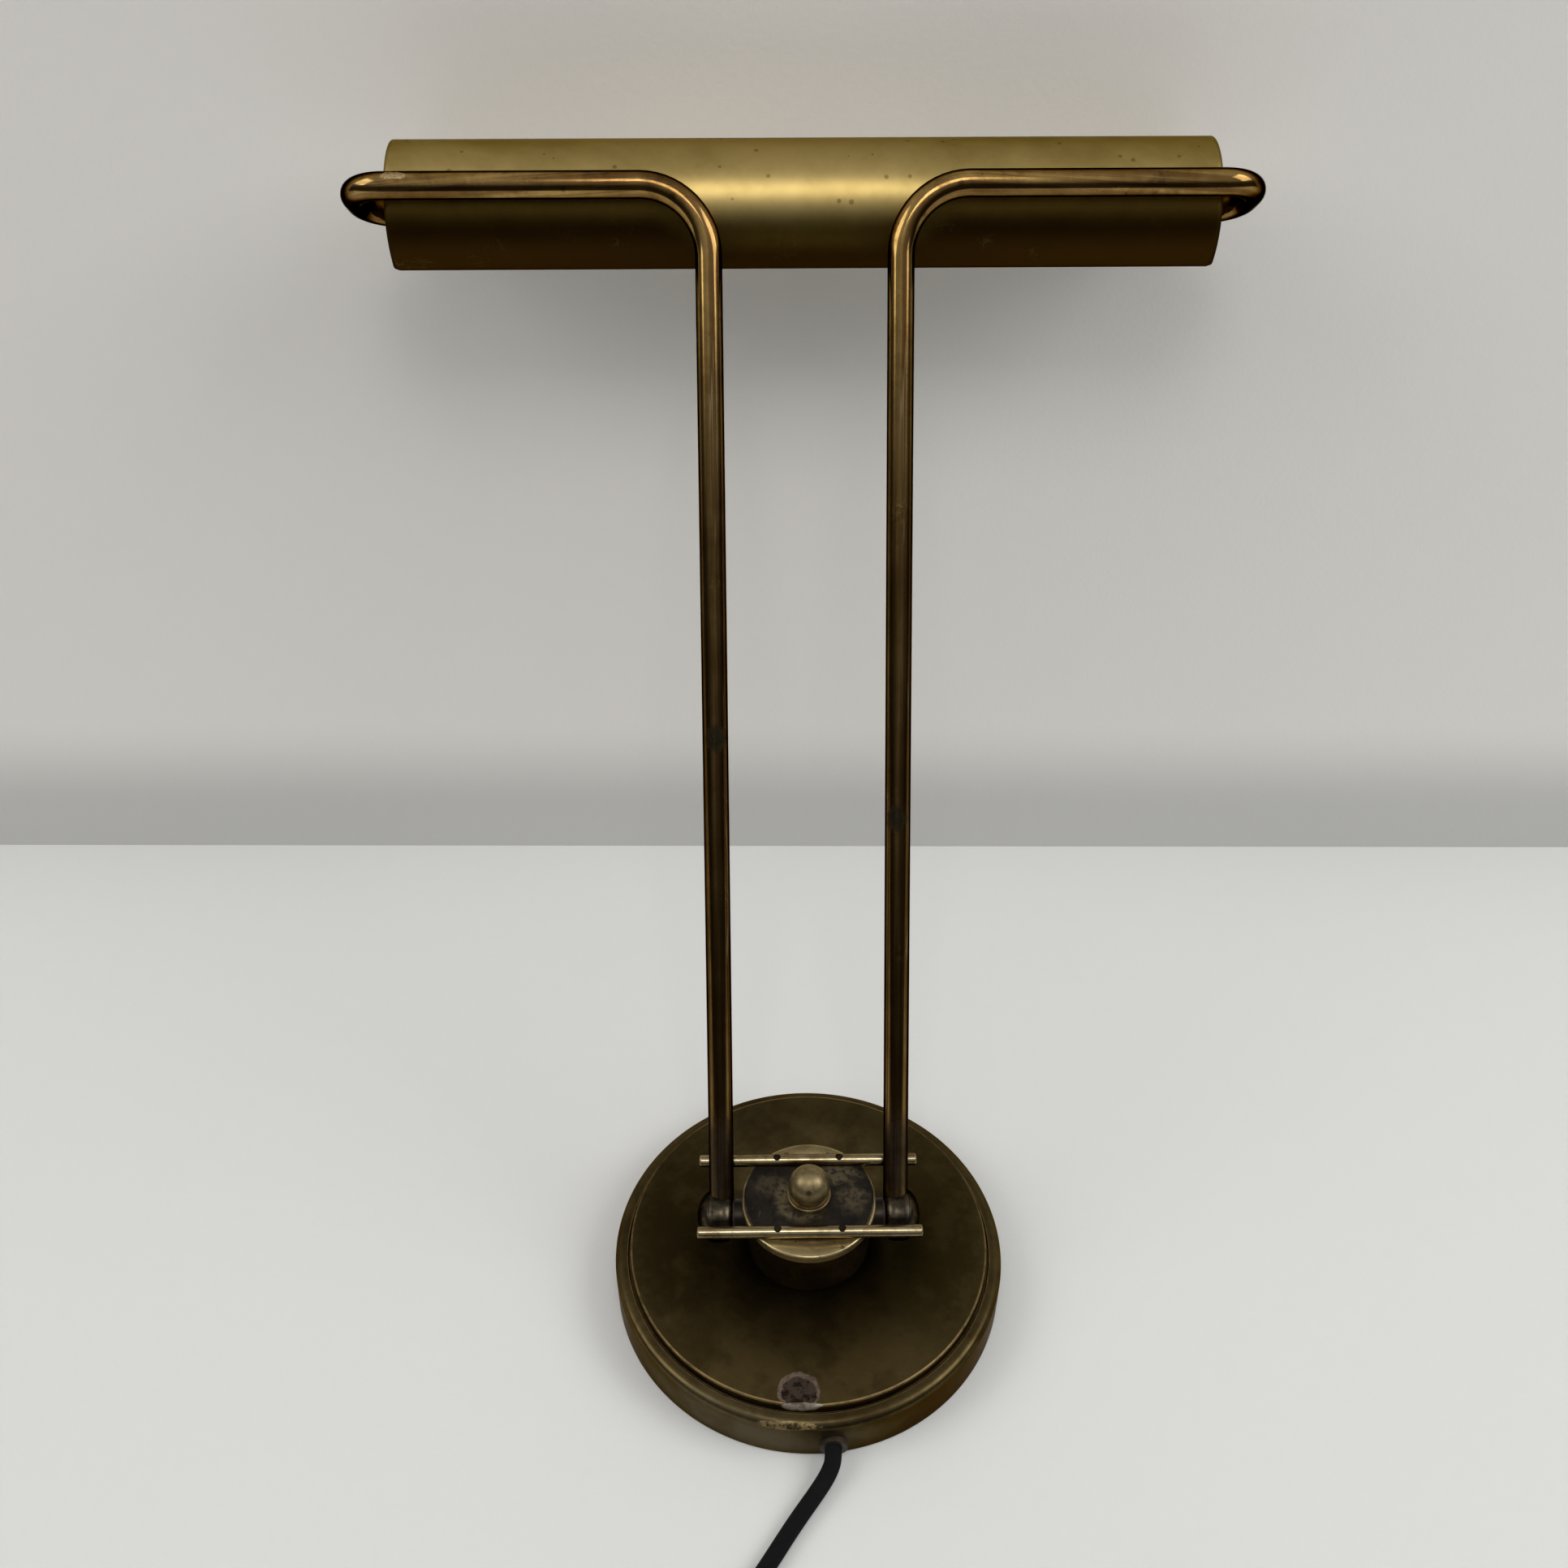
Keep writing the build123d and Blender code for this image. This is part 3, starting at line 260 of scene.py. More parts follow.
def bent_path(corners: np.ndarray, radii: list[float], step: float, steps: int = 14) -> np.ndarray:
    """A path of straight runs and round bends, with points about a step apart.

    Args:
        corners: Corner points, one row each.
        radii: The bend radius at each inner corner.
        step: Spacing of the points on the straight runs.
        steps: Points on each bend.

    Returns:
        The path's points, one row each.
    """
    parts = []
    start = corners[0]
    for before, corner, after, radius in zip(corners, corners[1:], corners[2:], radii):
        back, ahead = unit(before - corner), unit(after - corner)
        half = np.arccos(np.clip(back @ ahead, -1, 1)) / 2
        bend_start = corner + back * radius / tan(half)
        bend_end = corner + ahead * radius / tan(half)
        centre = corner + unit(back + ahead) * radius / sin(half)
        count = max(2, int(np.linalg.norm(bend_start - start) / step))
        share = np.linspace(0, 1, count, endpoint=False)[:, None]
        parts.append(start * (1 - share) + bend_start * share)
        sweep = pi - 2 * half
        angle = np.linspace(0, sweep, steps, endpoint=False)[:, None]
        spoke = unit(bend_start - centre)
        parts.append(centre + radius * (np.cos(angle) * spoke - np.sin(angle) * back))
        start = bend_end
    count = max(2, int(np.linalg.norm(corners[-1] - start) / step))
    share = np.linspace(0, 1, count)[:, None]
    parts.append(start * (1 - share) + corners[-1] * share)
    return np.concatenate(parts)


def tube_rings(path: np.ndarray, radius: float, reference: np.ndarray, around: int) -> np.ndarray:
    """Circles square to a path.

    The first axis of each circle is the reference direction with its part along the path taken away.

    Args:
        path: Points of the centre line.
        radius: The circles' radius.
        reference: A direction at each point that is never along the path.
        around: Points on each circle.

    Returns:
        Rings by points by three.
    """
    tangent = unit(np.gradient(path, axis=0))
    first = unit(reference - tangent * np.einsum("ij,ij->i", reference, tangent)[:, None])
    second = np.cross(tangent, first)
    angle = np.linspace(0, 2 * pi, around, endpoint=False)[None, :, None]
    spoke = np.cos(angle) * first[:, None, :] + np.sin(angle) * second[:, None, :]
    return path[:, None, :] + spoke * radius


# Finishes


def new_group(
    name: str, inputs: dict[str, float], outputs: tuple[str, ...]
) -> tuple[bpy.types.NodeTree, bpy.types.Node, bpy.types.Node]:
    """An empty shader node group with its sockets. Every group has a Place, and gives out masks.

    Args:
        name: The group's name.
        inputs: The default value of each number that it takes.
        outputs: The name of each mask that it gives out.

    Returns:
        The group, its input node and its output node.
    """
    group = bpy.data.node_groups.new(name, "ShaderNodeTree")
    group.interface.new_socket("Place", in_out="INPUT", socket_type="NodeSocketVector")
    for label, value in inputs.items():
        socket = group.interface.new_socket(label, in_out="INPUT", socket_type="NodeSocketFloat")
        socket.default_value = value
    for label in outputs:
        group.interface.new_socket(label, in_out="OUTPUT", socket_type="NodeSocketFloat")
    return group, group.nodes.new("NodeGroupInput"), group.nodes.new("NodeGroupOutput")


@dataclass
class NodeWriter:
    """Short ways to add nodes to a tree."""

    tree: bpy.types.NodeTree

    def add(self, kind: str, **settings: object) -> bpy.types.Node:
        """Adds a node.

        Args:
            kind: The node's type.
            settings: Its plain properties.

        Returns:
            The node.
        """
        node = self.tree.nodes.new(kind)
        for key, value in settings.items():
            setattr(node, key, value)
        return node

    def link(self, source: Socket, target: Socket) -> None:
        """Joins an output to an input."""
        self.tree.links.new(source, target)

    def put(self, value: NodeValue, target: Socket) -> None:
        """Sets an input, or joins an output to it.

        Args:
            value: A number, a vector, a colour or an output.
            target: The input.
        """
        if isinstance(value, Socket):
            self.link(value, target)
        elif isinstance(value, tuple) and len(value) == 3 and target.type == "RGBA":
            target.default_value = (*value, 1.0)
        else:
            target.default_value = value

    def coordinate(self, kind: str) -> Socket:
        """An output of a Texture Coordinate node."""
        return self.add("ShaderNodeTexCoord").outputs[kind]

    def parts(self, place: NodeValue) -> tuple[Socket, ...]:
        """The three parts of a vector.

        Args:
            place: The vector.

        Returns:
            The outputs for X, Y and Z.
        """
        node = self.add("ShaderNodeSeparateXYZ")
        self.put(place, node.inputs[0])
        return tuple(node.outputs)

    def maths(self, operation: str, *values: NodeValue, clamp: bool = False) -> Socket:
        """The result of a Math node.

        Args:
            operation: The sum to do.
            values: Its numbers or outputs, in order.
            clamp: Whether the result is held between 0 and 1.

        Returns:
            The result.
        """
        node = self.add("ShaderNodeMath", operation=operation, use_clamp=clamp)
        for socket, value in zip(node.inputs, values):
            self.put(value, socket)
        return node.outputs[0]

    def inverse(self, value: NodeValue) -> Socket:
        """One less the value."""
        return self.maths("SUBTRACT", 1.0, value)

    def reach(self, first: NodeValue, second: NodeValue) -> Socket:
        """The root of (first squared plus second squared)."""
        squares = self.maths("MULTIPLY_ADD", second, second, self.maths("MULTIPLY", first, first))
        return self.maths("SQRT", squares)

    def vector_maths(self, operation: str, output: str, *values: NodeValue) -> Socket:
        """The result of a Vector Math node.

        Args:
            operation: The sum to do.
            output: The name of its result.
            values: Its vectors or outputs, in order.

        Returns:
            The result.
        """
        node = self.add("ShaderNodeVectorMath", operation=operation)
        for socket, value in zip(node.inputs, values):
            self.put(value, socket)
        return node.outputs[output]

    def noise(
        self, place: NodeValue, scale: NodeValue, detail: float = 4.0, rough: float = 0.55, warp: float = 0.0
    ) -> Socket:
        """The value of a Noise Texture.

        Args:
            place: Where it is read.
            scale: How small its clouds are.
            detail: How many finer layers it has.
            rough: How strong these are.
            warp: How much it is bent.

        Returns:
            The value, mostly between 0.3 and 0.7.
        """
        node = self.add("ShaderNodeTexNoise")
        self.put(place, node.inputs["Vector"])
        self.put(scale, node.inputs["Scale"])
        node.inputs["Detail"].default_value = detail
        node.inputs["Roughness"].default_value = rough
        node.inputs["Distortion"].default_value = warp
        return node.outputs["Fac"]

    def spread(self, value: NodeValue, low: NodeValue, high: NodeValue) -> Socket:
        """A value brought smoothly from low..high to 0..1, held there.

        Args:
            value: The value.
            low: Where the result is 0.
            high: Where the result is 1.

        Returns:
            The result.
        """
        node = self.add("ShaderNodeMapRange", interpolation_type="SMOOTHSTEP")
        self.put(value, node.inputs["Value"])
        self.put(low, node.inputs["From Min"])
        self.put(high, node.inputs["From Max"])
        return node.outputs["Result"]

    def thin_band(self, value: NodeValue, width: NodeValue) -> Socket:
        """One where a value passes a half, falling to nought at the width on both sides of it."""
        gap = self.maths("ABSOLUTE", self.maths("SUBTRACT", value, 0.5))
        return self.inverse(self.spread(gap, 0.0, width))

    def mix(self, share: NodeValue, first: NodeValue, second: NodeValue) -> Socket:
        """A blend of two colours, by the colour sockets of a Mix node.

        Args:
            share: How much of the second there is.
            first: The first colour.
            second: The second colour.

        Returns:
            The blend.
        """
        node = self.add("ShaderNodeMix", data_type="RGBA")
        colours = [socket for socket in node.inputs if socket.type == "RGBA"]
        for value, socket in zip((share, first, second), (node.inputs[0], *colours)):
            self.put(value, socket)
        return next(socket for socket in node.outputs if socket.type == "RGBA")

    def place_group(self, group: bpy.types.NodeTree, place: NodeValue, **values: float) -> bpy.types.Node:
        """Places a shared effect.

        Args:
            group: The effect.
            place: Where it is read.
            values: The numbers that it takes.

        Returns:
            The group's node.
        """
        node = self.add("ShaderNodeGroup", node_tree=group)
        self.put(place, node.inputs["Place"])
        for key, value in values.items():
            node.inputs[key].default_value = value
        return node

    def bump(self, height: NodeValue, strength: float, distance: float, shader: bpy.types.Node) -> None:
        """Gives a shader a bumpy surface.

        Args:
            height: The output that gives the height.
            strength: How strongly it shows.
            distance: How high it is in metres.
            shader: The shader that it feeds.
        """
        node = self.add("ShaderNodeBump")
        node.inputs["Strength"].default_value = strength
        node.inputs["Distance"].default_value = distance
        self.put(height, node.inputs["Height"])
        self.link(node.outputs[0], shader.inputs["Normal"])


@dataclass
class Effects:
    """Node groups that several finishes share, each built once, with the numbers that shape them.

    Three numbers of a noise are its scale, detail and roughness. A pair of edges says where a mask starts
    and where it is full. Each way of the scratches is a stretch and a turn in radians.
    """

    fine_scale: float = 5.3
    coarse_share: float = 0.72
    least_level: float = 0.25
    level_range: float = 0.5
    scratch_ways: tuple[tuple[Place, float], ...] = (
        ((1.0, 9.0, 1.0), 0.4),
        ((8.0, 1.0, 2.0), 1.3),
    )
    scratch_tip: float = 0.6
    scratch_places: tuple[float, float, float] = (55.0, 2.0, 0.5)
    scratch_edges: tuple[float, float] = (0.55, 0.68)
    spot_rarity: float = 4.0
    spot_core: float = 0.5
    streak_stretch: float = 0.016
    broad_noise: tuple[float, float, float] = (380.0, 3.0, 0.55)
    line_noise: tuple[float, float, float] = (620.0, 1.0, 0.4)
    line_places: tuple[float, float, float] = (240.0, 2.0, 0.5)
    line_edges: tuple[float, float] = (0.46, 0.6)
    line_width: float = 0.03

    def __post_init__(self) -> None:
        """Builds every group."""
        self.tarnish = self.build_tarnish()
        self.scratches = self.build_scratches()
        self.specks = self.build_specks()
        self.streaks = self.build_streaks()

    def build_tarnish(self) -> bpy.types.NodeTree:
        """Cloudy patches at two sizes: the sum of a coarse and a fine noise, cut at a level.

        Returns:
            The group.
        """
        group, source, target = new_group(
            "tarnish_clouds", {"Scale": 30.0, "Amount": 0.5, "Softness": 0.15}, ("Mask", "Fine")
        )
        write = NodeWriter(group)
        place, scale, amount, softness = list(source.outputs)[:4]
        coarse = write.noise(place, scale, detail=6.0, rough=0.6, warp=0.4)
        fine = write.noise(place, write.maths("MULTIPLY", scale, self.fine_scale), detail=5.0, rough=0.65)
        coarse_part = write.maths("MULTIPLY", coarse, self.coarse_share)
        both = write.maths("MULTIPLY_ADD", fine, 1 - self.coarse_share, coarse_part)
        middle = write.maths("MULTIPLY_ADD", write.inverse(amount), self.level_range, self.least_level)
        low = write.maths("SUBTRACT", middle, softness)
        high = write.maths("ADD", middle, softness)
        write.link(write.spread(both, low, high), target.inputs["Mask"])
        write.link(fine, target.inputs["Fine"])
        return group

    def build_scratches(self) -> bpy.types.NodeTree:
        """Fine lines: the thin bands where a stretched noise passes its middle value.

        Returns:
            The group.
        """
        group, source, target = new_group("fine_scratches", {"Scale": 60.0, "Width": 0.02}, ("Mask",))
        write = NodeWriter(group)
        place, scale, width = list(source.outputs)[:3]
        masks = []
        for stretch, turn in self.scratch_ways:
            mapping = write.add("ShaderNodeMapping")
            write.link(place, mapping.inputs["Vector"])
            mapping.inputs["Rotation"].default_value = (turn, self.scratch_tip * turn, turn)
            mapping.inputs["Scale"].default_value = stretch
            lines = write.noise(mapping.outputs["Vector"], scale, detail=2.0, rough=0.4, warp=0.2)
            where = write.spread(write.noise(place, *self.scratch_places), *self.scratch_edges)
            masks.append(write.maths("MULTIPLY", write.thin_band(lines, width), where))
        write.link(write.maths("MAXIMUM", *masks), target.inputs["Mask"])
        return group

    def build_specks(self) -> bpy.types.NodeTree:
        """Round spots of many sizes: points of a cell pattern nearer than a radius that differs by cell.

        Returns:
            The group.
        """
        group, source, target = new_group("spots", {"Scale": 200.0, "Radius": 0.2}, ("Mask",))
        write = NodeWriter(group)
        place, scale, most = list(source.outputs)[:3]
        cells = write.add("ShaderNodeTexVoronoi", feature="F1")
        write.link(place, cells.inputs["Vector"])
        write.link(scale, cells.inputs["Scale"])
        chance = write.add("ShaderNodeSeparateColor")
        write.link(cells.outputs["Color"], chance.inputs[0])
        radius = write.maths("MULTIPLY", most, write.maths("POWER", chance.outputs[0], self.spot_rarity))
        core = write.maths("MULTIPLY", radius, self.spot_core)
        outside = write.spread(cells.outputs["Distance"], core, radius)
        write.link(write.inverse(outside), target.inputs["Mask"])
        return group

    def build_streaks(self) -> bpy.types.NodeTree:
        """Painted reflection streaks on a tube: noise on its own surface, drawn out along its length, gives
        broad dark streaks and thin light lines of painted highlight.

        The way round the tube over its radius is an angle, whose cosine and sine make the streaks meet
        all round.

        Returns:
            The group.
        """
        group, source, target = new_group("painted_reflection_streaks", {"Radius": 0.005}, ("Broad", "Line"))
        write = NodeWriter(group)
        place, radius = list(source.outputs)[:2]
        around, along, _ = write.parts(place)
        angle = write.maths("DIVIDE", around, radius)
        point = write.add("ShaderNodeCombineXYZ")
        for socket, wave in zip(point.inputs, ("COSINE", "SINE")):
            write.link(write.maths("MULTIPLY", write.maths(wave, angle), radius), socket)
        write.link(write.maths("MULTIPLY", along, self.streak_stretch), point.inputs[2])
        write.link(write.noise(point.outputs[0], *self.broad_noise), target.inputs["Broad"])
        band = write.thin_band(write.noise(point.outputs[0], *self.line_noise), self.line_width)
        where = write.spread(write.noise(point.outputs[0], *self.line_places), *self.line_edges)
        write.link(write.maths("MULTIPLY", band, where), target.inputs["Line"])
        return group


@dataclass(frozen=True)
class Finish:
    """What every finish has: a name, and a way to build its material once."""

    name: str

    def start(self) -> tuple[bpy.types.Material, NodeWriter, bpy.types.Node]:
        """A new material with its shader joined to the output.

        Returns:
            The material, the writer of its nodes and its shader.
        """
        material = bpy.data.materials.new(self.name)
        material.use_nodes = True
        material.node_tree.nodes.clear()
        write = NodeWriter(material.node_tree)
        shader = write.add("ShaderNodeBsdfPrincipled")
        output = write.add("ShaderNodeOutputMaterial")
        write.link(shader.outputs[0], output.inputs["Surface"])
        return material, write, shader

    def build(self, effects: Effects) -> bpy.types.Material:
        """The finished material, which every kind of finish builds in its own way."""
        raise NotImplementedError


@dataclass(frozen=True)
class Ring:
    """A bright ring round the Z axis, a rubbed edge with a painted highlight, bare within the core's share
    of its width. Sizes in metres.
    """

    radius: float
    height: float
    width: float
    core: float = 0.4


@dataclass(frozen=True)
class Patch:
    """An oval patch of two mottled colours, with an uneven edge. Sizes in metres."""

    centre: Place
    reach: Place
    colour: Colour
    second: Colour
    share: float = 1.0
    grain: float = 420.0
    softness: float = 0.04
    bend: float = 0.5
    edge_grain: float = 260.0
    mottle: tuple[float, float] = (0.45, 0.62)


@dataclass(frozen=True)
class Fade:
    """A change from none to all along a direction, with an uneven edge. Sizes in metres.

    Towards both ends it can start earlier, but not behind a given place; on the shade this earlier start is
    painted shade under the tubes' level legs.
    """

    direction: Place
    start: float
    end: float
    ragged: float = 0.004
    side_shift: float = 0.0
    side_start: float = 0.036
    side_width: float = 0.022
    side_behind: float = 0.228
    behind_width: float = 0.012


@dataclass(frozen=True)
class AgedBrass(Finish):
    """Brass that has darkened unevenly and is rubbed bright in places; some finishes also carry painted
    shade, painted highlights and painted reflections.

    Amounts are shares of one and scales are per metre. A pair of edges says where a mask starts and
    where it is full.
    """

    clean: Colour = (0.42, 0.30, 0.11)
    dull: Colour = (0.14, 0.085, 0.03)
    patina_and_shade: Colour = (0.035, 0.022, 0.01)
    edge_tint: Colour = (0.75, 0.62, 0.40)
    metal: float = 0.9
    roughness: float = 0.34
    unevenness: float = 0.18
    tarnish: float = 0.5
    cloud_scale: float = 28.0
    cloud_softness: float = 0.16
    darkness: float = 0.4
    dark_scale: float = 2.1
    dark_softness: float = 0.12
    dark_most: float = 0.75
    dark_roughness: float = 0.08
    scratch_amount: float = 0.5
    scratch_scale: float = 70.0
    scratch_width: float = 0.012
    spot_amount: float = 0.6
    spot_size: float = 0.4
    spot_scale: float = 230.0
    fade: Fade | None = None
    fade_amount: float = 0.95
    fade_middle: Colour | None = None
    middle_end: float = 0.6
    rings: tuple[Ring, ...] = ()
    ring_edges: tuple[float, float] = (0.25, 0.55)
    patches: tuple[Patch, ...] = ()
    patch_roughness: float = 0.3
    # Painted reflection along a tube: dark streaks, and light lines of painted highlight.
    streak_radius: float = 0.0
    streak_colour: Colour = (0.075, 0.027, 0.009)
    streak_edges: tuple[float, float] = (0.42, 0.58)
    streak_amount: float = 0.6
    painted_highlight_colour: Colour = (0.40, 0.27, 0.14)
    painted_highlight_amount: float = 0.6
    # Painted shade along the outline.
    painted_rim_shade: float = 0.0
    rim_edges: tuple[float, float] = (0.34, 0.60)
    bump: float = 0.1
    bump_clouds: float = 0.5
    bump_distance: float = 0.0002

    def build(self, effects: Effects) -> bpy.types.Material:
        """Layers from bright metal to dark tarnish, with spots, rubbed edges and fine scratches over them;
        where a finish asks for it, painted shade, painted highlights and painted reflections too.

        Args:
            effects: The shared effects.

        Returns:
            The finished material.
        """
        material, write, shader = self.start()
        place = write.coordinate("Object")
        clouds = write.place_group(
            effects.tarnish, place, Scale=self.cloud_scale, Amount=self.tarnish, Softness=self.cloud_softness
        )
        dark_scale = self.cloud_scale * self.dark_scale
        dark = write.place_group(
            effects.tarnish, place, Scale=dark_scale, Amount=self.darkness, Softness=self.dark_softness
        )
        fine = dark.outputs["Fine"]
        colour = write.mix(clouds.outputs["Mask"], self.clean, self.dull)
        # Painted reflection: dark streaks along the tube.
        if self.streak_radius > 0:
            streaks = write.place_group(effects.streaks, write.coordinate("UV"), Radius=self.streak_radius)
            broad = write.spread(streaks.outputs["Broad"], *self.streak_edges)
            broad = write.maths("MULTIPLY", broad, self.streak_amount)
            colour = write.mix(broad, colour, self.streak_colour)
        dark_share = write.maths("MULTIPLY", dark.outputs["Mask"], self.dark_most)
        # The fade darkens towards one end; on the shade this is tarnish with painted shade, on the tubes
        # painted shade, through the middle colour where one is given.
        if self.fade is not None:
            faded = self.fade_share(write, place, fine)
            if self.fade_middle is not None:
                colour = write.mix(write.spread(faded, 0.0, self.middle_end), colour, self.fade_middle)
            dark_share = write.maths("MAXIMUM", dark_share, faded)
        spots = write.place_group(effects.specks, place, Scale=self.spot_scale, Radius=self.spot_size)
        spot_share = write.maths("MULTIPLY", spots.outputs["Mask"], self.spot_amount)
        dark_share = write.maths("MAXIMUM", dark_share, spot_share)
        colour = write.mix(dark_share, colour, self.patina_and_shade)
        # Bright metal at the scratches, and at the rings, which are rubbed edge with painted highlight.
        wear_and_highlight = self.wear_and_highlight_share(write, effects, place, fine)
        colour = write.mix(wear_and_highlight, colour, self.clean)
        # Painted highlight: light lines along the tube.
        if self.streak_radius > 0:
            line = write.maths("MULTIPLY", streaks.outputs["Line"], self.painted_highlight_amount)
            colour = write.mix(line, colour, self.painted_highlight_colour)
        # Painted shade: the colour darkens where the surface turns away from view, along the outline.
        if self.painted_rim_shade > 0:
            facing = write.add("ShaderNodeLayerWeight").outputs["Facing"]
            rim = write.maths("MULTIPLY", write.spread(facing, *self.rim_edges), self.painted_rim_shade)
            colour = write.mix(rim, colour, self.patina_and_shade)
        least = self.roughness - self.unevenness / 2
        rough = write.maths("MULTIPLY_ADD", clouds.outputs["Fine"], self.unevenness, least)
        rough = write.maths("MULTIPLY_ADD", dark_share, self.dark_roughness, rough)
        for patch in self.patches:
            share = self.patch_share(write, place, patch)
            mottle = write.spread(write.noise(place, patch.grain, detail=4.0, rough=0.6), *patch.mottle)
            colour = write.mix(share, colour, write.mix(mottle, patch.colour, patch.second))
            rough = write.maths("MULTIPLY_ADD", share, self.patch_roughness, rough)
        write.put(colour, shader.inputs["Base Color"])
        write.put(rough, shader.inputs["Roughness"])
        write.put(self.metal, shader.inputs["Metallic"])
        write.put(self.edge_tint, shader.inputs["Specular Tint"])
        height = write.maths("MULTIPLY_ADD", clouds.outputs["Fine"], self.bump_clouds, wear_and_highlight)
        write.bump(height, self.bump, self.bump_distance, shader)
        return material

    def fade_share(self, write: NodeWriter, place: NodeValue, fine: NodeValue) -> Socket:
        """How far a point lies along the fade, pushed back and forth by the fine noise.

        Args:
            write: The writer of the material's nodes.
            place: The point.
            fine: The fine noise.

        Returns:
            The share of the dark colour; on the shade this is tarnish with painted shade, on the tubes
            painted shade.
        """
        fade = self.fade
        along = write.vector_maths("DOT_PRODUCT", "Value", place, fade.direction)
        along = write.maths("MULTIPLY_ADD", fine, fade.ragged, along)
        # Painted shade: on the front, outside the middle, the fade starts higher, under the tubes' level
        # legs.
        if fade.side_shift > 0:
            x, y, _ = write.parts(place)
            x = write.maths("ABSOLUTE", x)
            aside = write.spread(x, fade.side_start, fade.side_start + fade.side_width)
            front = write.spread(y, fade.side_behind, fade.side_behind - fade.behind_width)
            aside = write.maths("MULTIPLY", aside, front)
            along = write.maths("MULTIPLY_ADD", aside, fade.side_shift, along)
        half = fade.ragged / 2
        share = write.spread(along, fade.start + half, fade.end + half)
        return write.maths("MULTIPLY", share, self.fade_amount)

    def wear_and_highlight_share(
        self, write: NodeWriter, effects: Effects, place: NodeValue, fine: NodeValue
    ) -> Socket:
        """Scratches, and nearness to the bright rings of rubbed edge and painted highlight, broken up by the
        fine noise.

        The distance to a ring is the root of (radius difference squared plus height difference squared).

        Args:
            write: The writer of the material's nodes.
            effects: The shared effects.
            place: The point.
            fine: The fine noise.

        Returns:
            The share of bright metal: wear, with painted highlight at the rings.
        """
        scratches = write.place_group(
            effects.scratches, place, Scale=self.scratch_scale, Width=self.scratch_width
        )
        wear_and_highlight = write.maths("MULTIPLY", scratches.outputs["Mask"], self.scratch_amount)
        if self.rings:
            x, y, z = write.parts(place)
            radius = write.reach(x, y)
            broken = write.spread(fine, *self.ring_edges)
        for ring in self.rings:
            out = write.maths("SUBTRACT", radius, ring.radius)
            up = write.maths("SUBTRACT", z, ring.height)
            near = write.inverse(write.spread(write.reach(out, up), ring.width * ring.core, ring.width))
            wear_and_highlight = write.maths("MAXIMUM", wear_and_highlight, write.maths("MULTIPLY", near, broken))
        return wear_and_highlight

    @staticmethod
    def patch_share(write: NodeWriter, place: NodeValue, patch: Patch) -> Socket:
        """The patch's share inside an oval whose edge is bent by noise, nought outside.

        Args:
            write: The writer of the material's nodes.
            place: The point.
            patch: The patch.

        Returns:
            The share.
        """
        shift = write.vector_maths("SUBTRACT", "Vector", place, patch.centre)
        scaled = write.vector_maths("DIVIDE", "Vector", shift, patch.reach)
        length = write.vector_maths("LENGTH", "Value", scaled)
        bends = write.noise(place, patch.edge_grain, detail=3.0, rough=0.55)
        bent = write.maths("MULTIPLY_ADD", bends, patch.bend, length)
        edge = 1.0 + patch.bend / 2
        outside = write.spread(bent, edge - patch.softness, edge + patch.softness)
        return write.maths("MULTIPLY", write.inverse(outside), patch.share)


@dataclass(frozen=True)
class PlainMaterial(Finish):
    """An even material with a fine grain, such as moulded plastic, steel or felt."""

    colour: Colour = (0.5, 0.5, 0.5)
    second: Colour = (0.4, 0.4, 0.4)
    metallic: float = 0.0
    roughness: float = 0.5
    shine: float = 0.5
    cloud_scale: float = 60.0
    cloud_amount: float = 0.5
    cloud_softness: float = 0.25
    grain_scale: float = 900.0
    grain: float = 0.15
    bump: float = 0.4
    bump_distance: float = 0.00005

    def build(self, effects: Effects) -> bpy.types.Material:
        """Two near colours in clouds, and a fine grain in the roughness and the surface.

        Args:
            effects: The shared effects.

        Returns:
            The finished material.
        """
        material, write, shader = self.start()
        place = write.coordinate("Object")
        clouds = write.place_group(
            effects.tarnish,
            place,
            Scale=self.cloud_scale,
            Amount=self.cloud_amount,
            Softness=self.cloud_softness,
        )
        grain = write.noise(place, self.grain_scale, detail=3.0, rough=0.6)
        rough = write.maths("MULTIPLY_ADD", grain, self.grain, self.roughness - self.grain / 2)
        write.put(write.mix(clouds.outputs["Mask"], self.colour, self.second), shader.inputs["Base Color"])
        write.put(self.metallic, shader.inputs["Metallic"])
        write.put(self.shine, shader.inputs["Specular IOR Level"])
        write.put(rough, shader.inputs["Roughness"])
        write.bump(grain, self.bump, self.bump_distance, shader)
        return material


@dataclass(frozen=True)
class FrostedGlass(Finish):
    """The white coated glass of a bulb."""

    colour: Colour = (0.86, 0.86, 0.82)
    roughness: float = 0.22
    unevenness: float = 0.1
    coat_scale: float = 400.0
    depth: float = 0.2
    gloss: float = 0.5

    def build(self, effects: Effects) -> bpy.types.Material:
        """Smooth pale glass with a soft inner coat.

        Args:
            effects: The shared effects; not used.

        Returns:
            The finished material.
        """
        material, write, shader = self.start()
        coat = write.noise(write.coordinate("Object"), self.coat_scale, detail=3.0, rough=0.5)
        rough = write.maths("MULTIPLY_ADD", coat, self.unevenness, self.roughness)
        write.put(rough, shader.inputs["Roughness"])
        write.put(self.colour, shader.inputs["Base Color"])
        write.put(self.depth, shader.inputs["Subsurface Weight"])
        write.put(self.gloss, shader.inputs["Coat Weight"])
        return material


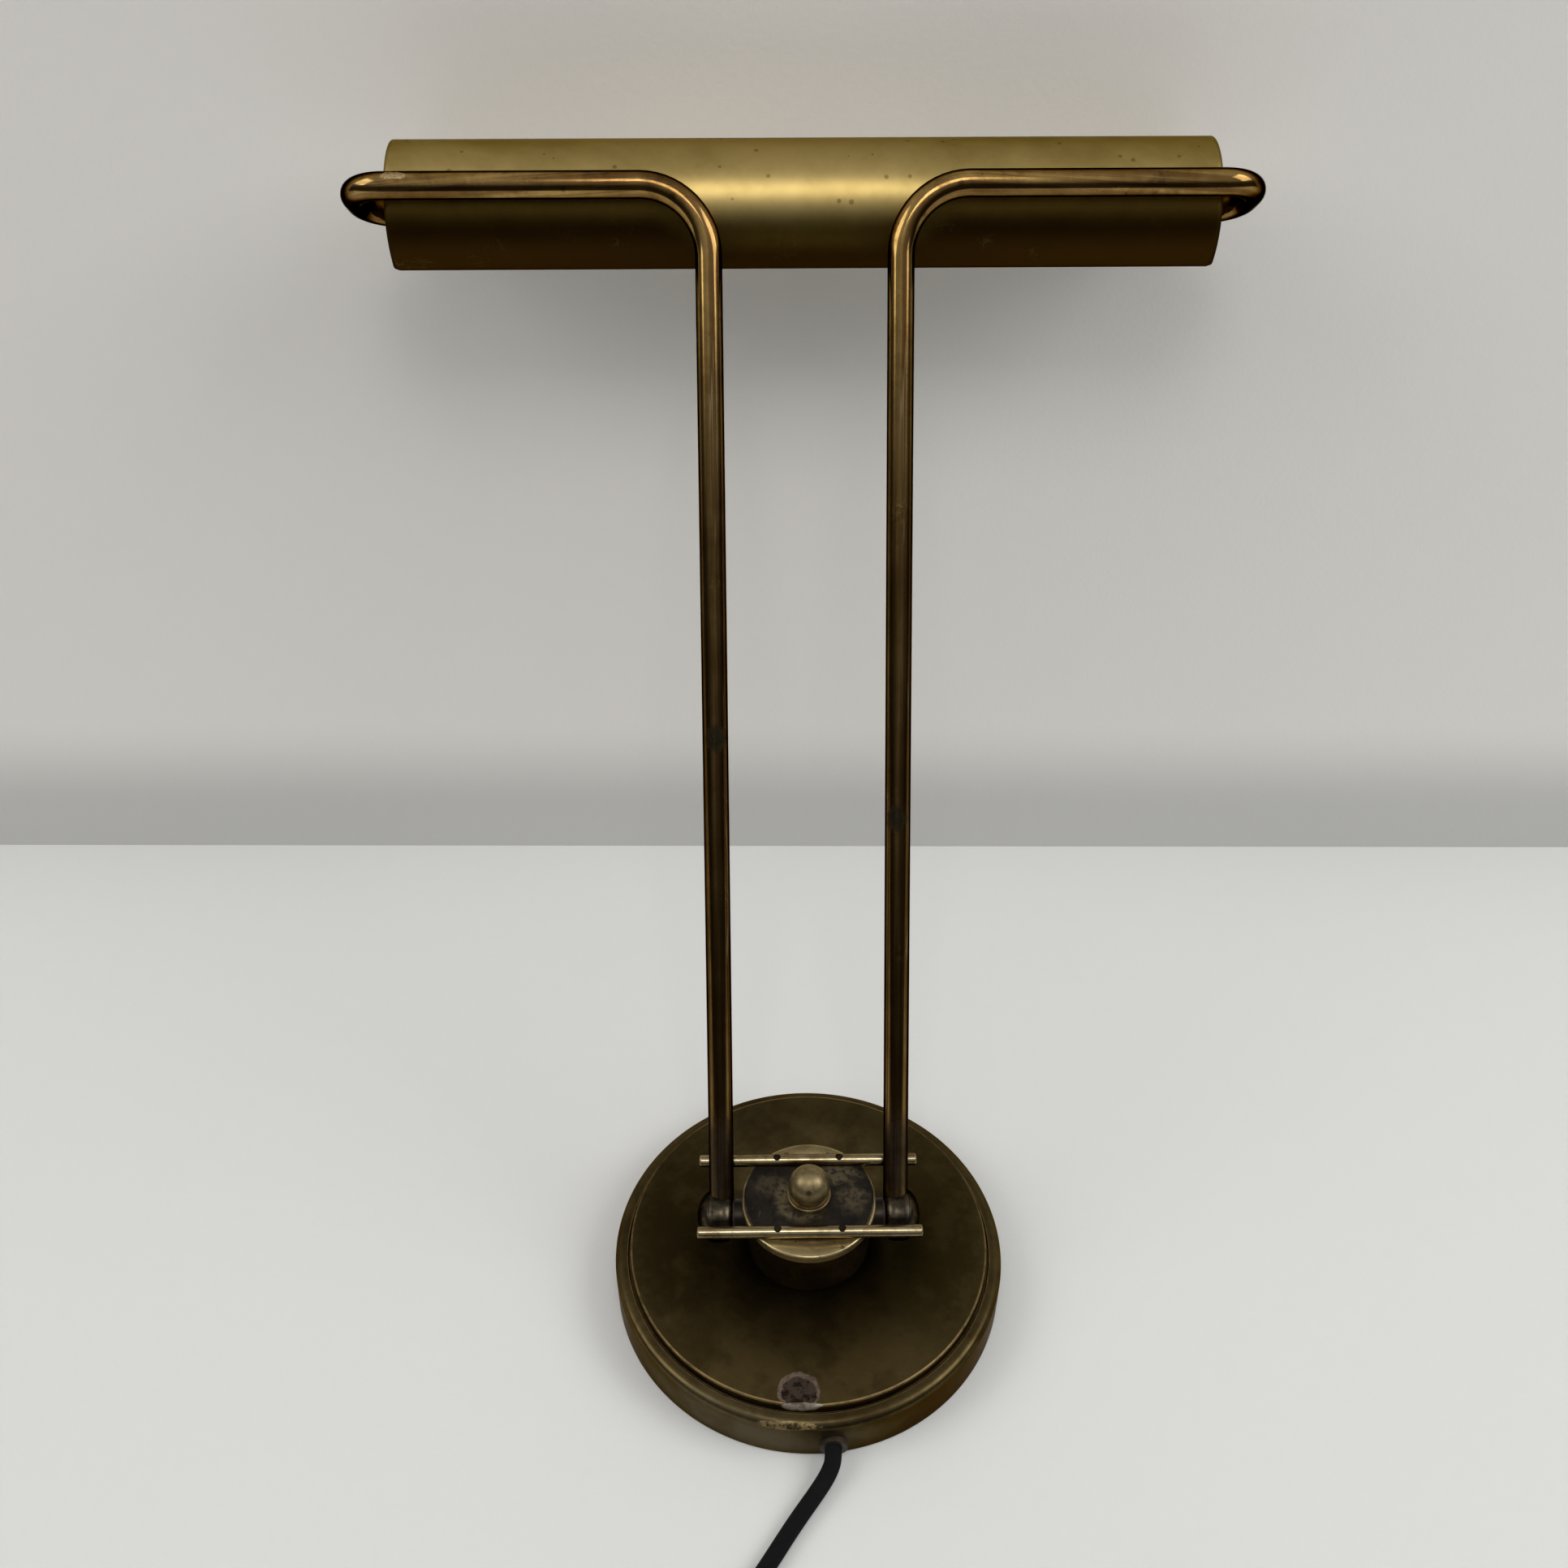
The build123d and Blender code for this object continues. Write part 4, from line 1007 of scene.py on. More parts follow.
@dataclass(frozen=True)
class BraidedTextile(Finish):
    """Black textile sleeve: two sets of threads that cross round the cord, on surface coordinates."""

    dark: Colour = (0.003, 0.003, 0.0035)
    light: Colour = (0.016, 0.016, 0.017)
    around: float = 24.0
    along: float = 1100.0
    fuzz_scale: float = 1500.0
    fuzz: float = 0.8
    fuzz_least: float = 0.4
    roughness: float = 0.85
    shine: float = 0.1
    bump: float = 0.6
    bump_distance: float = 0.0003

    def build(self, effects: Effects) -> bpy.types.Material:
        """Sine waves along both diagonals; where they cross the threads stand up.

        Args:
            effects: The shared effects; not used.

        Returns:
            The finished material.
        """
        material, write, shader = self.start()
        first, second, _ = write.parts(write.coordinate("UV"))
        across = write.maths("MULTIPLY", second, self.around * 2 * pi)
        waves = []
        for sign in (1.0, -1.0):
            along = write.maths("MULTIPLY", first, sign * self.along * 2 * pi)
            waves.append(write.maths("SINE", write.maths("ADD", across, along)))
        weave = write.maths("MULTIPLY_ADD", write.maths("MULTIPLY", *waves), 0.5, 0.5)
        fuzz = write.noise(write.coordinate("Object"), self.fuzz_scale, detail=3.0, rough=0.6)
        fuzz = write.maths("MULTIPLY_ADD", fuzz, self.fuzz, self.fuzz_least)
        share = write.maths("MULTIPLY", weave, fuzz, clamp=True)
        write.put(write.mix(share, self.dark, self.light), shader.inputs["Base Color"])
        write.put(self.roughness, shader.inputs["Roughness"])
        write.put(self.shine, shader.inputs["Specular IOR Level"])
        write.bump(weave, self.bump, self.bump_distance, shader)
        return material


class Paintbox:
    """Every finish of the lamp, built when it is first asked for."""

    def __init__(self) -> None:
        """Builds the shared effects."""
        self.effects = Effects()
        self.made: dict[str, bpy.types.Material] = {}

    def dress(self, piece: bpy.types.Object, finish: Finish) -> bpy.types.Object:
        """Gives a piece one finish.

        Args:
            piece: A new piece or a CAD node.
            finish: The finish it gets.

        Returns:
            The piece.
        """
        if finish.name not in self.made:
            self.made[finish.name] = finish.build(self.effects)
        piece.data.materials.clear()
        piece.data.materials.append(self.made[finish.name])
        return piece

    def dress_nodes(self, finish: Finish, *nodes: str) -> None:
        """Gives one finish to the CAD nodes that are named."""
        for node in nodes:
            self.dress(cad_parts[node], finish)


def disc_side_shade(x: float, colour: Colour, second: Colour, share: float) -> Patch:
    """A wide patch of painted shade on the base's disc, at a place sideways, in two colours."""
    centre, reach = (x, 0.004, 0.025), (0.022, 0.050, 0.004)
    return Patch(centre, reach, colour, second, share, grain=60.0, softness=0.5, bend=0.6)


def stem_mark(centre: Place, reach: Place) -> Patch:
    """A dark mark on a tube, from its middle and its half sizes."""
    return Patch(centre, reach, (0.013, 0.019, 0.014), (0.009, 0.010, 0.008), 0.8, softness=0.40, bend=1.2)


def stem_foot(x: float) -> Patch:
    """The dark foot of a tube, at a place sideways."""
    spot, colours = ((x, 0.012, 0.06), (0.012, 0.014, 0.022)), ((0.022, 0.023, 0.026), (0.014, 0.013, 0.013))
    return Patch(*spot, *colours, share=0.6, grain=300.0, softness=0.5, bend=0.7)


def plate_stain(centre: tuple[float, float], reach: tuple[float, float], share: float) -> Patch:
    """A brown stain on the plate, from its middle and its half sizes seen from above."""
    brown, shade = (0.17, 0.135, 0.075), (0.045, 0.038, 0.030)
    return Patch((*centre, 0.0543), (*reach, 0.003), brown, shade, share, softness=0.45, bend=1.2)


BASE_BRASS = AgedBrass(
    "base_brass",
    clean=(0.28, 0.19, 0.085),
    dull=(0.080, 0.058, 0.023),
    patina_and_shade=(0.026, 0.017, 0.006),
    edge_tint=(0.50, 0.42, 0.31),
    tarnish=0.93,
    darkness=0.42,
    cloud_scale=17.0,
    metal=0.97,
    roughness=0.29,
    unevenness=0.1,
    scratch_amount=0.08,
    spot_amount=0.3,
    # The side wall below the shoulder turns darker.
    fade=Fade((0.0, 0.0, -1.0), -0.0200, -0.0165, 0.002),
    fade_amount=0.6,
    # Rubbed edges with painted highlights, at the disc's rim and at the lip.
    rings=(Ring(0.0732, 0.0247, 0.0008), Ring(0.0746, 0.0212, 0.0005)),
    patches=(
        # Painted reflection: a lighter patch at the front of the disc.
        Patch(
            (0.0, -0.052, 0.025),
            (0.050, 0.026, 0.004),
            (0.120, 0.086, 0.033),
            (0.060, 0.041, 0.015),
            share=0.5,
            grain=60.0,
            softness=0.6,
            bend=0.6,
        ),
        # Painted shade: darker patches at the disc's sides.
        disc_side_shade(-0.052, (0.024, 0.016, 0.005), (0.040, 0.028, 0.009), 0.95),
        disc_side_shade(0.052, (0.026, 0.018, 0.005), (0.042, 0.030, 0.010), 0.9),
        # Painted reflection: a lighter grey patch low on the front of the side wall.
        Patch(
            (-0.030, -0.072, 0.010),
            (0.052, 0.036, 0.0085),
            (0.20, 0.175, 0.135),
            (0.15, 0.13, 0.095),
            share=0.5,
            grain=60.0,
            softness=0.6,
        ),
        Patch((-0.005, -0.0675, 0.025), (0.0084, 0.0078, 0.004), (0.20, 0.15, 0.112), (0.13, 0.092, 0.07)),
        Patch(
            (-0.005, -0.0685, 0.025),
            (0.0068, 0.0066, 0.004),
            (0.12, 0.086, 0.066),
            (0.036, 0.024, 0.017),
        ),
        Patch((-0.0052, -0.0732, 0.025), (0.0088, 0.0011, 0.004), (0.42, 0.38, 0.31), (0.25, 0.21, 0.16)),
        Patch(
            (-0.0130, -0.0785, 0.0195),
            (0.0170, 0.0022, 0.0016),
            (0.34, 0.25, 0.12),
            (0.05, 0.032, 0.014),
            share=0.8,
        ),
    ),
)
SHADE_BRASS = AgedBrass(
    "shade_brass",
    clean=(0.41, 0.30, 0.112),
    dull=(0.235, 0.168, 0.046),
    patina_and_shade=(0.034, 0.0155, 0.0024),
    edge_tint=(0.42, 0.37, 0.27),
    tarnish=0.5,
    darkness=0.06,
    cloud_scale=11.0,
    roughness=0.37,
    unevenness=0.1,
    scratch_amount=0.1,
    spot_amount=0.5,
    spot_size=0.31,
    bump=0.05,
    metal=1.0,
    # Tarnish with painted shade: the lower half darkens through a brown middle colour, and on the front it
    # starts earlier under the tubes' level legs.
    fade=Fade((0.0, 0.0, -1.0), -0.3790, -0.3590, 0.003, side_shift=0.0100),
    fade_amount=0.985,
    fade_middle=(0.21, 0.142, 0.028),
)
TUBE_BRASS = AgedBrass(
    "tube_brass",
    clean=(0.47, 0.30, 0.100),
    dull=(0.22, 0.130, 0.036),
    patina_and_shade=(0.030, 0.016, 0.006),
    edge_tint=(0.22, 0.18, 0.14),
    tarnish=0.5,
    darkness=0.3,
    cloud_scale=30.0,
    roughness=0.13,
    unevenness=0.1,
    scratch_amount=0.3,
    spot_amount=0.6,
    bump=0.04,
    metal=1.0,
    # Painted shade: the tubes darken from just below their top bends downwards.
    fade=Fade((0.0, 0.0, -1.0), -0.375, -0.31, 0.02),
    fade_amount=0.62,
    patches=(
        stem_mark((-0.0350, 0.0954, 0.2134), (0.0040, 0.005, 0.0046)),
        stem_mark((0.0345, 0.0792, 0.1858), (0.0036, 0.005, 0.0056)),
        stem_foot(-0.0353),
        stem_foot(0.0353),
        Patch(
            (-0.1485, 0.1995, 0.3906),
            (0.0050, 0.0030, 0.0009),
            (0.62, 0.47, 0.25),
            (0.16, 0.10, 0.05),
            share=0.75,
            grain=1300.0,
            softness=0.15,
            bend=1.3,
        ),
    ),
    # Painted reflection streaks and highlight lines, and painted shade along the outline.
    streak_radius=0.005,
    painted_rim_shade=0.9,
)
CAP_BRASS = AgedBrass(
    "cap_brass",
    clean=(0.50, 0.40, 0.21),
    dull=(0.27, 0.205, 0.10),
    patina_and_shade=(0.06, 0.045, 0.02),
    tarnish=0.45,
    darkness=0.15,
    cloud_scale=60.0,
    roughness=0.25,
    scratch_amount=0.1,
    spot_amount=0.7,
    bump=0.015,
)
FINIAL_BRASS = AgedBrass(
    "finial_brass",
    clean=(0.29, 0.23, 0.12),
    dull=(0.145, 0.105, 0.05),
    patina_and_shade=(0.035, 0.025, 0.012),
    tarnish=0.5,
    darkness=0.3,
    cloud_scale=90.0,
    roughness=0.38,
    spot_amount=0.9,
    spot_size=0.55,
    bump=0.08,
)
DRUM_BRASS = AgedBrass(
    "drum_brass",
    clean=(0.13, 0.09, 0.04),
    dull=(0.055, 0.037, 0.016),
    patina_and_shade=(0.02, 0.013, 0.006),
    tarnish=0.65,
    darkness=0.35,
    cloud_scale=50.0,
    roughness=0.3,
)
ROD_BRASS = AgedBrass(
    "rod_brass",
    clean=(0.37, 0.30, 0.175),
    dull=(0.22, 0.165, 0.09),
    patina_and_shade=(0.08, 0.055, 0.03),
    edge_tint=(0.4, 0.35, 0.26),
    tarnish=0.45,
    darkness=0.3,
    cloud_scale=75.0,
    roughness=0.2,
    unevenness=0.04,
    scratch_amount=0.12,
    spot_amount=0.3,
    bump=0.01,
    metal=1.0,
)
PLATE_BRONZE = AgedBrass(
    "plate_bronze",
    clean=(0.15, 0.12, 0.07),
    dull=(0.050, 0.044, 0.038),
    patina_and_shade=(0.014, 0.0135, 0.016),
    tarnish=0.88,
    darkness=0.5,
    cloud_scale=55.0,
    roughness=0.2,
    scratch_amount=0.7,
    bump=0.04,
    patches=(
        plate_stain((0.0120, 0.0100), (0.0085, 0.0042), 0.75),
        plate_stain((0.0175, -0.0015), (0.0060, 0.0060), 0.6),
        plate_stain((-0.0100, -0.0020), (0.0036, 0.0070), 0.8),
        plate_stain((-0.0030, -0.0093), (0.0065, 0.0030), 0.7),
        plate_stain((-0.0150, 0.0050), (0.0070, 0.0050), 0.4),
    ),
)
KNUCKLE_BRONZE = AgedBrass(
    "knuckle_bronze",
    clean=(0.13, 0.10, 0.06),
    dull=(0.038, 0.031, 0.022),
    patina_and_shade=(0.012, 0.011, 0.010),
    edge_tint=(0.16, 0.14, 0.11),
    tarnish=0.62,
    darkness=0.45,
    cloud_scale=70.0,
    roughness=0.27,
    unevenness=0.08,
    scratch_amount=0.2,
    bump=0.03,
    metal=1.0,
)
# Painted shade: the spacing collars are near black so that the gap between knuckle and drum reads dark.
SHADED_COLLAR_BRONZE = PlainMaterial(
    "collar_bronze_and_shade", (0.035, 0.028, 0.02), (0.02, 0.016, 0.012), metallic=0.9, roughness=0.4
)
STEEL = PlainMaterial("plain_steel", (0.42, 0.41, 0.39), (0.30, 0.29, 0.28), metallic=1.0, roughness=0.35)
IRON = PlainMaterial("cast_iron", (0.05, 0.05, 0.052), (0.08, 0.075, 0.07), metallic=0.6, roughness=0.7)
FELT = PlainMaterial(
    "felt",
    (0.022, 0.045, 0.028),
    (0.03, 0.055, 0.036),
    roughness=0.95,
    grain_scale=1400.0,
    bump_distance=0.0004,
)
FIBRE = PlainMaterial("hard_fibre", (0.050, 0.024, 0.016), (0.036, 0.018, 0.012), roughness=0.6)
BAKELITE = PlainMaterial(
    "moulded_black", (0.010, 0.010, 0.010), (0.016, 0.015, 0.014), roughness=0.36, shine=0.25
)
SLEEVE = PlainMaterial("wire_sleeve", (0.015, 0.015, 0.016), (0.02, 0.02, 0.02), roughness=0.6)
GROMMET = PlainMaterial("grommet", (0.075, 0.054, 0.032), (0.03, 0.022, 0.014), metallic=0.6, roughness=0.45)
BULB_GLASS = FrostedGlass("bulb_glass")
CORD_BRAID = BraidedTextile("cord_braid")


# The lamp's pieces


@dataclass
class Assembly:
    """What every group of pieces has: the paintbox and short ways to place a piece."""

    paint: Paintbox

    def settle(
        self, piece: bpy.types.Object, finish: Finish, body: Body, slot: Slot, *replaced: str
    ) -> bpy.types.Object:
        """Dresses a new piece and ties it to the frame.

        Args:
            piece: The new piece.
            finish: Its finish.
            body: The body it moves with.
            slot: The record's material slot; not used.
            replaced: CAD nodes that it stands for.

        Returns:
            The piece.
        """
        self.paint.dress(piece, finish)
        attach(piece, body.value)
        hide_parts(*replaced)
        log.info("made %s", piece.name)
        return piece


@dataclass
class LampBase(Assembly):
    """The spun cover of the base. Sizes in millimetres."""

    radius: float = 80.0
    height: float = 25.0
    wall: float = 1.2
    bore: float = 5.05
    shoulder: float = 21.0
    shoulder_round: float = 3.4
    shoulder_depth: float = 2.4
    disc: float = 73.6
    disc_inset: float = 1.6
    groove: float = 0.9
    groove_depth: float = 1.0
    lip_rise: float = 0.2
    rim_lift: float = 0.6
    arc_points: int = 7
    around: int = 256

    def build(self) -> None:
        """The cover is turned; the pieces inside and under it keep their CAD shape."""
        lip, groove_floor = self.disc + self.groove, self.shoulder - self.groove_depth
        inside, ledge = self.radius - self.wall, self.shoulder - self.shoulder_depth
        step, ceiling = self.disc - self.disc_inset, self.height - self.wall
        outline = [
            (self.bore, self.height, 0.0),
            (self.disc, self.height, 1.0),
            (self.disc, groove_floor, 0.2),
            (lip, groove_floor, 0.2),
            (lip, self.shoulder + self.lip_rise, 0.35),
            (self.radius, self.shoulder, self.shoulder_round),
            (self.radius, self.rim_lift, 0.4),
            (inside, self.rim_lift, 0.2),
            (inside, ledge, 1.5),
            (step, ledge, 0.5),
            (step, ceiling, 0.8),
            (self.bore, ceiling, 0.0),
        ]
        cover = turned("base_shell", rounded(outline, self.arc_points), around=self.around, joined=True)
        self.settle(cover, BASE_BRASS, Body.BASE, Slot.AGED, "base_cover")
        self.paint.dress_nodes(IRON, "base_weight")
        self.paint.dress_nodes(FELT, "base_felt")
        self.paint.dress_nodes(STEEL, "threaded_tube", "base_nut", "swivel_spring", "swivel_nut")
        self.paint.dress_nodes(FIBRE, "swivel_washer")
        self.paint.dress_nodes(GROMMET, "cord_grommet")


@dataclass
class LampHead(Assembly):
    """The drum with its cap, plate, rods and ball finial. Sizes in millimetres, angles in degrees."""

    bore: float = 5.05
    drum_radius: float = 25.2
    drum_bottom: float = 25.6
    drum_top: float = 48.0
    drum_wall: float = 2.0
    drum_floor: float = 3.0
    stud_hole: float = 3.1
    cap_radius: float = 27.0
    cap_top: float = 52.0
    lip_inset: float = 2.1
    lip_depth: float = 0.8
    plate_top: float = 54.3
    ball_radius: float = 8.3
    collar_radius: float = 8.8
    collar_top: float = 56.3
    groove_radius: float = 7.2
    groove_height: float = 0.7
    finial_middle: float = 0.3
    pole: float = 89.8
    ball_points: int = 48
    drum_around: int = 160
    cap_around: int = 192
    ball_around: int = 96

    def build(self) -> None:
        """Turned drum, cap and finial; the flat plate and the rods keep their CAD shape."""
        inside, floor = self.drum_radius - self.drum_wall, self.drum_bottom + self.drum_floor
        drum = [
            (self.bore, self.drum_bottom, 0.0),
            (self.drum_radius, self.drum_bottom, 0.5),
            (self.drum_radius, self.drum_top, 0.15),
            (inside, self.drum_top, 0.1),
            (inside, floor, 0.3),
            (self.bore, floor, 0.0),
        ]
        piece = turned("swivel_drum", rounded(drum), around=self.drum_around, joined=True)
        self.settle(piece, DRUM_BRASS, Body.HEAD, Slot.AGED, "drum")
        lip, lip_bottom = self.drum_radius - self.lip_inset, self.drum_top - self.lip_depth
        cap = [
            (self.stud_hole, lip_bottom, 0.0),
            (lip, lip_bottom, 0.1),
            (lip, self.drum_top, 0.05),
            (self.cap_radius, self.drum_top, 0.3),
            (self.cap_radius, self.cap_top, 0.7),
            (self.stud_hole, self.cap_top, 0.0),
        ]
        piece = turned("bright_cap", rounded(cap), around=self.cap_around, joined=True)
        self.settle(piece, CAP_BRASS, Body.HEAD, Slot.POLISHED, "drum_cap")
        self.build_finial()
        self.paint.dress_nodes(ROD_BRASS, "rear_stop_rod", "front_stop_rod")
        self.paint.dress_nodes(PLATE_BRONZE, "head_plate")
        self.paint.dress_nodes(KNUCKLE_BRONZE, "rod_screws")
        self.paint.dress_nodes(STEEL, "finial_stud", "stud_nut")

    def build_finial(self) -> None:
        """A ball on a grooved collar: a circle's arc over short straight runs."""
        seat = self.collar_top + self.groove_height
        centre = seat + sqrt(self.ball_radius**2 - self.groove_radius**2)
        collar = rounded(
            [
                (self.stud_hole, self.plate_top, 0.0),
                (self.collar_radius, self.plate_top, 0.4),
                (self.collar_radius, self.collar_top, 0.4),
                (self.groove_radius, self.collar_top, 0.1),
                (self.groove_radius, seat, 0.0),
            ]
        )
        start = -np.arccos(self.groove_radius / self.ball_radius)
        angle = np.linspace(start, radians(self.pole), self.ball_points)
        ball = np.stack([np.cos(angle), np.sin(angle)], axis=1) * self.ball_radius + [0, centre]
        profile = np.concatenate([[[self.finial_middle, self.plate_top]], collar, ball[1:]])
        piece = turned("ball_knob", profile, around=self.ball_around)
        self.settle(piece, FINIAL_BRASS, Body.HEAD, Slot.SATIN, "ball_finial")


@dataclass
class TiltJoints(Assembly):
    """The knuckles and domed nuts at both sides of the drum. Sizes in millimetres, angles in degrees.

    The inner face stands just clear of the fibre washer, and the nut just clear of the knuckle.
    """

    pivot_height: float = 41.0
    bore: float = 4.05
    inner_face: float = 30.82
    nut_face: float = 40.6
    nut_bore: float = 3.0
    nut_gap: float = 0.02
    dome_start: float = 38.0
    dome_length: float = 7.2
    radius: float = 10.5
    bulge: float = 4.6
    bulge_radius: float = 7.6
    edge_depth: float = 0.12
    edge_inset: float = 0.25
    nut_edge_inset: float = 0.3
    pole: float = 89.7
    swell_points: int = 16
    outline_points: int = 12
    dome_points: int = 30
    around: int = 96

    def knuckle(self) -> np.ndarray:
        """The knuckle's closed profile: a swell, a cylinder, then the start of a quarter of an ellipse.

        Returns:
            Radius and distance from the middle of the lamp, one row per point.
        """
        place = np.linspace(self.dome_start, self.nut_face - self.edge_depth, self.outline_points)
        share = np.clip((place - self.dome_start) / self.dome_length, 0, 1)
        outline = np.stack([self.radius * np.sqrt(1 - share**2), place], axis=1)
        swell = np.linspace(0, pi / 2, self.swell_points)
        inner = self.bulge_radius + (self.radius - self.bulge_radius) * np.sin(swell)
        start = np.stack([inner, self.inner_face + self.bulge * (1 - np.cos(swell))], axis=1)
        end = [[outline[-1, 0] - self.edge_inset, self.nut_face], [self.bore, self.nut_face]]
        return np.concatenate([[[self.bore, self.inner_face]], start, outline, end])

    def dome(self) -> np.ndarray:
        """The domed nut's profile: the rest of the same quarter of an ellipse.

        Returns:
            Radius and distance from the middle of the lamp, one row per point.
        """
        tip_start = np.arcsin((self.nut_face - self.dome_start) / self.dome_length)
        angle = tip_start + (radians(self.pole) - tip_start) * np.linspace(0, 1, self.dome_points)
        along = self.dome_start + self.dome_length * np.sin(angle)
        arc = np.stack([self.radius * np.cos(angle), along], axis=1)
        face = np.array([[self.nut_bore, self.nut_face], [arc[0, 0] - self.nut_edge_inset, self.nut_face]])
        return np.concatenate([face, arc]) + [0, self.nut_gap]

    def build(self) -> None:
        """Each side's outline is cut where the domed nut meets the knuckle."""
        centre = (0.0, 0.0, self.pivot_height)
        for label, side in (("left", -1), ("right", 1)):
            axis = side * AXIS_X
            piece = turned(f"{label}_joint_ball", self.knuckle(), centre, axis, self.around, joined=True)
            self.settle(piece, KNUCKLE_BRONZE, Body.ARM, Slot.BRONZE, f"{label}_knuckle")
            piece = turned(f"{label}_dome", self.dome(), centre, axis, self.around)
            self.settle(piece, KNUCKLE_BRONZE, Body.HEAD, Slot.BRONZE, f"{label}_cap_nut")
            self.paint.dress_nodes(STEEL, f"{label}_pivot_pin", f"{label}_pin_nut")
            self.paint.dress_nodes(SHADED_COLLAR_BRONZE, f"{label}_spacing_collar")
            self.paint.dress_nodes(FIBRE, f"{label}_fibre_washer")


@dataclass
class ArmTubes(Assembly):
    """The two bent tubes. Sizes in millimetres, in the leaning arm's own directions."""

    pivot_height: float = 41.0
    lean_angle: float = 30.4
    offset: float = 35.3
    start: float = 7.0
    stem: float = 400.0
    reach: float = 166.7
    depth: float = 32.0
    drop: float = 4.0
    tube_end: float = 141.9
    stem_bend: float = 25.0
    loop_bend: float = 13.5
    radius: float = 5.0
    path_step: float = 2.5
    around: int = 40

    @property
    def forward(self) -> np.ndarray:
        """The direction square to the stems."""
        lean = radians(self.lean_angle)
        return np.array([0.0, cos(lean), -sin(lean)])

    @property
    def upward(self) -> np.ndarray:
        """The direction along the stems."""
        lean = radians(self.lean_angle)
        return np.array([0.0, sin(lean), cos(lean)])

    def point(self, x: float, forward: float, along: float) -> np.ndarray:
        """A point of the arm, from its distances sideways, square to the stems and along them."""
        pivot = np.array([0.0, 0.0, self.pivot_height])
        return pivot + np.array([x, 0.0, 0.0]) + forward * self.forward + along * self.upward

    def build(self) -> None:
        """Each tube follows its bent path; its rings start from a direction that turns on the level leg."""
        for label, side in (("left", -1), ("right", 1)):
            corners = np.array(
                [
                    self.point(side * self.offset, 0, self.start),
                    self.point(side * self.offset, 0, self.stem),
                    self.point(side * self.reach, 0, self.stem),
                    self.point(side * self.reach, self.depth, self.stem - self.drop),
                    self.point(side * self.tube_end, self.depth, self.stem - self.drop),
                ]
            )
            path = bent_path(corners, [self.stem_bend, self.loop_bend, self.loop_bend], self.path_step)
            across = np.abs(path[:, 0])
            leg_start, leg_end = self.offset + self.stem_bend, self.reach - self.loop_bend
            on_loop = np.cumsum(across >= leg_end) > 0
            share = np.where(on_loop, 1.0, np.clip((across - leg_start) / (leg_end - leg_start), 0, 1))
            turn = (share * (pi / 2 - atan2(self.drop, self.depth)))[:, None]
            reference = np.cos(turn) * self.forward + np.sin(turn) * self.upward
            rings = tube_rings(path, self.radius, reference, self.around)
            piece = ring_surface(f"{label}_bent_tube", rings * MM)
            self.settle(piece, TUBE_BRASS, Body.ARM, Slot.BRONZE, f"{label}_arm_tube")
            self.paint.dress_nodes(SLEEVE, f"{label}_lead_wire")


@dataclass
class TroughShade(Assembly):
    """The rolled shade with its ends. Sizes in millimetres, angles in degrees from the tubes to the top."""

    arm: ArmTubes
    radius: float = 26.4
    wall: float = 0.8
    half_length: float = 154.5
    rear_lip: float = -60.0
    front_lip: float = 155.0
    corner: float = 2.0
    arc_points: int = 97
    length_points: int = 161

    def build(self) -> None:
        """The skin is a circle's arc carried along the shade, shorter towards the lips' corners."""
        centre = self.arm.point(0, self.arm.depth, self.arm.stem - self.arm.drop)
        arc_length = radians(self.front_lip - self.rear_lip) * self.radius
        share = np.linspace(0, 1, self.arc_points)
        edge = np.minimum(share, 1 - share) * arc_length
        cut = np.clip(self.corner - edge, 0, self.corner)
        inset = self.corner - np.sqrt(self.corner**2 - cut**2)
        angle = np.radians(self.rear_lip + (self.front_lip - self.rear_lip) * share)
        across = np.linspace(-1, 1, self.length_points)
        x = across[None, :] * (self.half_length - inset)[:, None]
        direction = np.sin(angle)[:, None] * self.arm.upward - np.cos(angle)[:, None] * self.arm.forward
        points = centre + AXIS_X * x[..., None] + direction[:, None, :] * self.radius
        piece = self.skin("trough_skin", points)
        thickness = piece.modifiers.new("wall", "SOLIDIFY")
        thickness.thickness = self.wall * MM
        thickness.offset = -1.0
        thickness.use_even_offset = True
        self.settle(piece, SHADE_BRASS, Body.SHADE, Slot.SATIN, "shade_trough")
        for side in ("left", "right"):
            self.paint.dress_nodes(SHADE_BRASS, f"{side}_end_plate")
            self.paint.dress_nodes(KNUCKLE_BRONZE, f"{side}_end_bush", f"{side}_set_collar")

    @staticmethod
    def skin(name: str, points: np.ndarray) -> bpy.types.Object:
        """An open sheet through a grid of points, with its outer side out.

        Args:
            name: The piece's name.
            points: Points in millimetres, as rows by columns by three.

        Returns:
            The new object, linked to the scene.
        """
        rows, columns = points.shape[:2]
        row = np.arange(rows - 1)[:, None]
        column = np.arange(columns - 1)[None, :]
        first = row * columns + column
        faces = np.stack([first, first + 1, first + columns + 1, first + columns], axis=-1).reshape(-1, 4)
        mesh = bpy.data.meshes.new(name)
        mesh.from_pydata((points.reshape(-1, 3) * MM).tolist(), [], faces.tolist())
        mesh.polygons.foreach_set("use_smooth", np.ones(len(faces), dtype=bool))
        mesh.update()
        return placed(name, mesh)


@dataclass
class LightSources(Assembly):
    """Lampholders and bulbs inside the shade. They keep their CAD shape."""

    def build(self) -> None:
        """Dresses the holders, caps and glasses."""
        for side in ("left", "right"):
            self.paint.dress_nodes(BAKELITE, f"{side}_lampholder")
            self.paint.dress_nodes(STEEL, f"{side}_bulb_cap")
            self.paint.dress_nodes(BULB_GLASS, f"{side}_bulb_glass")


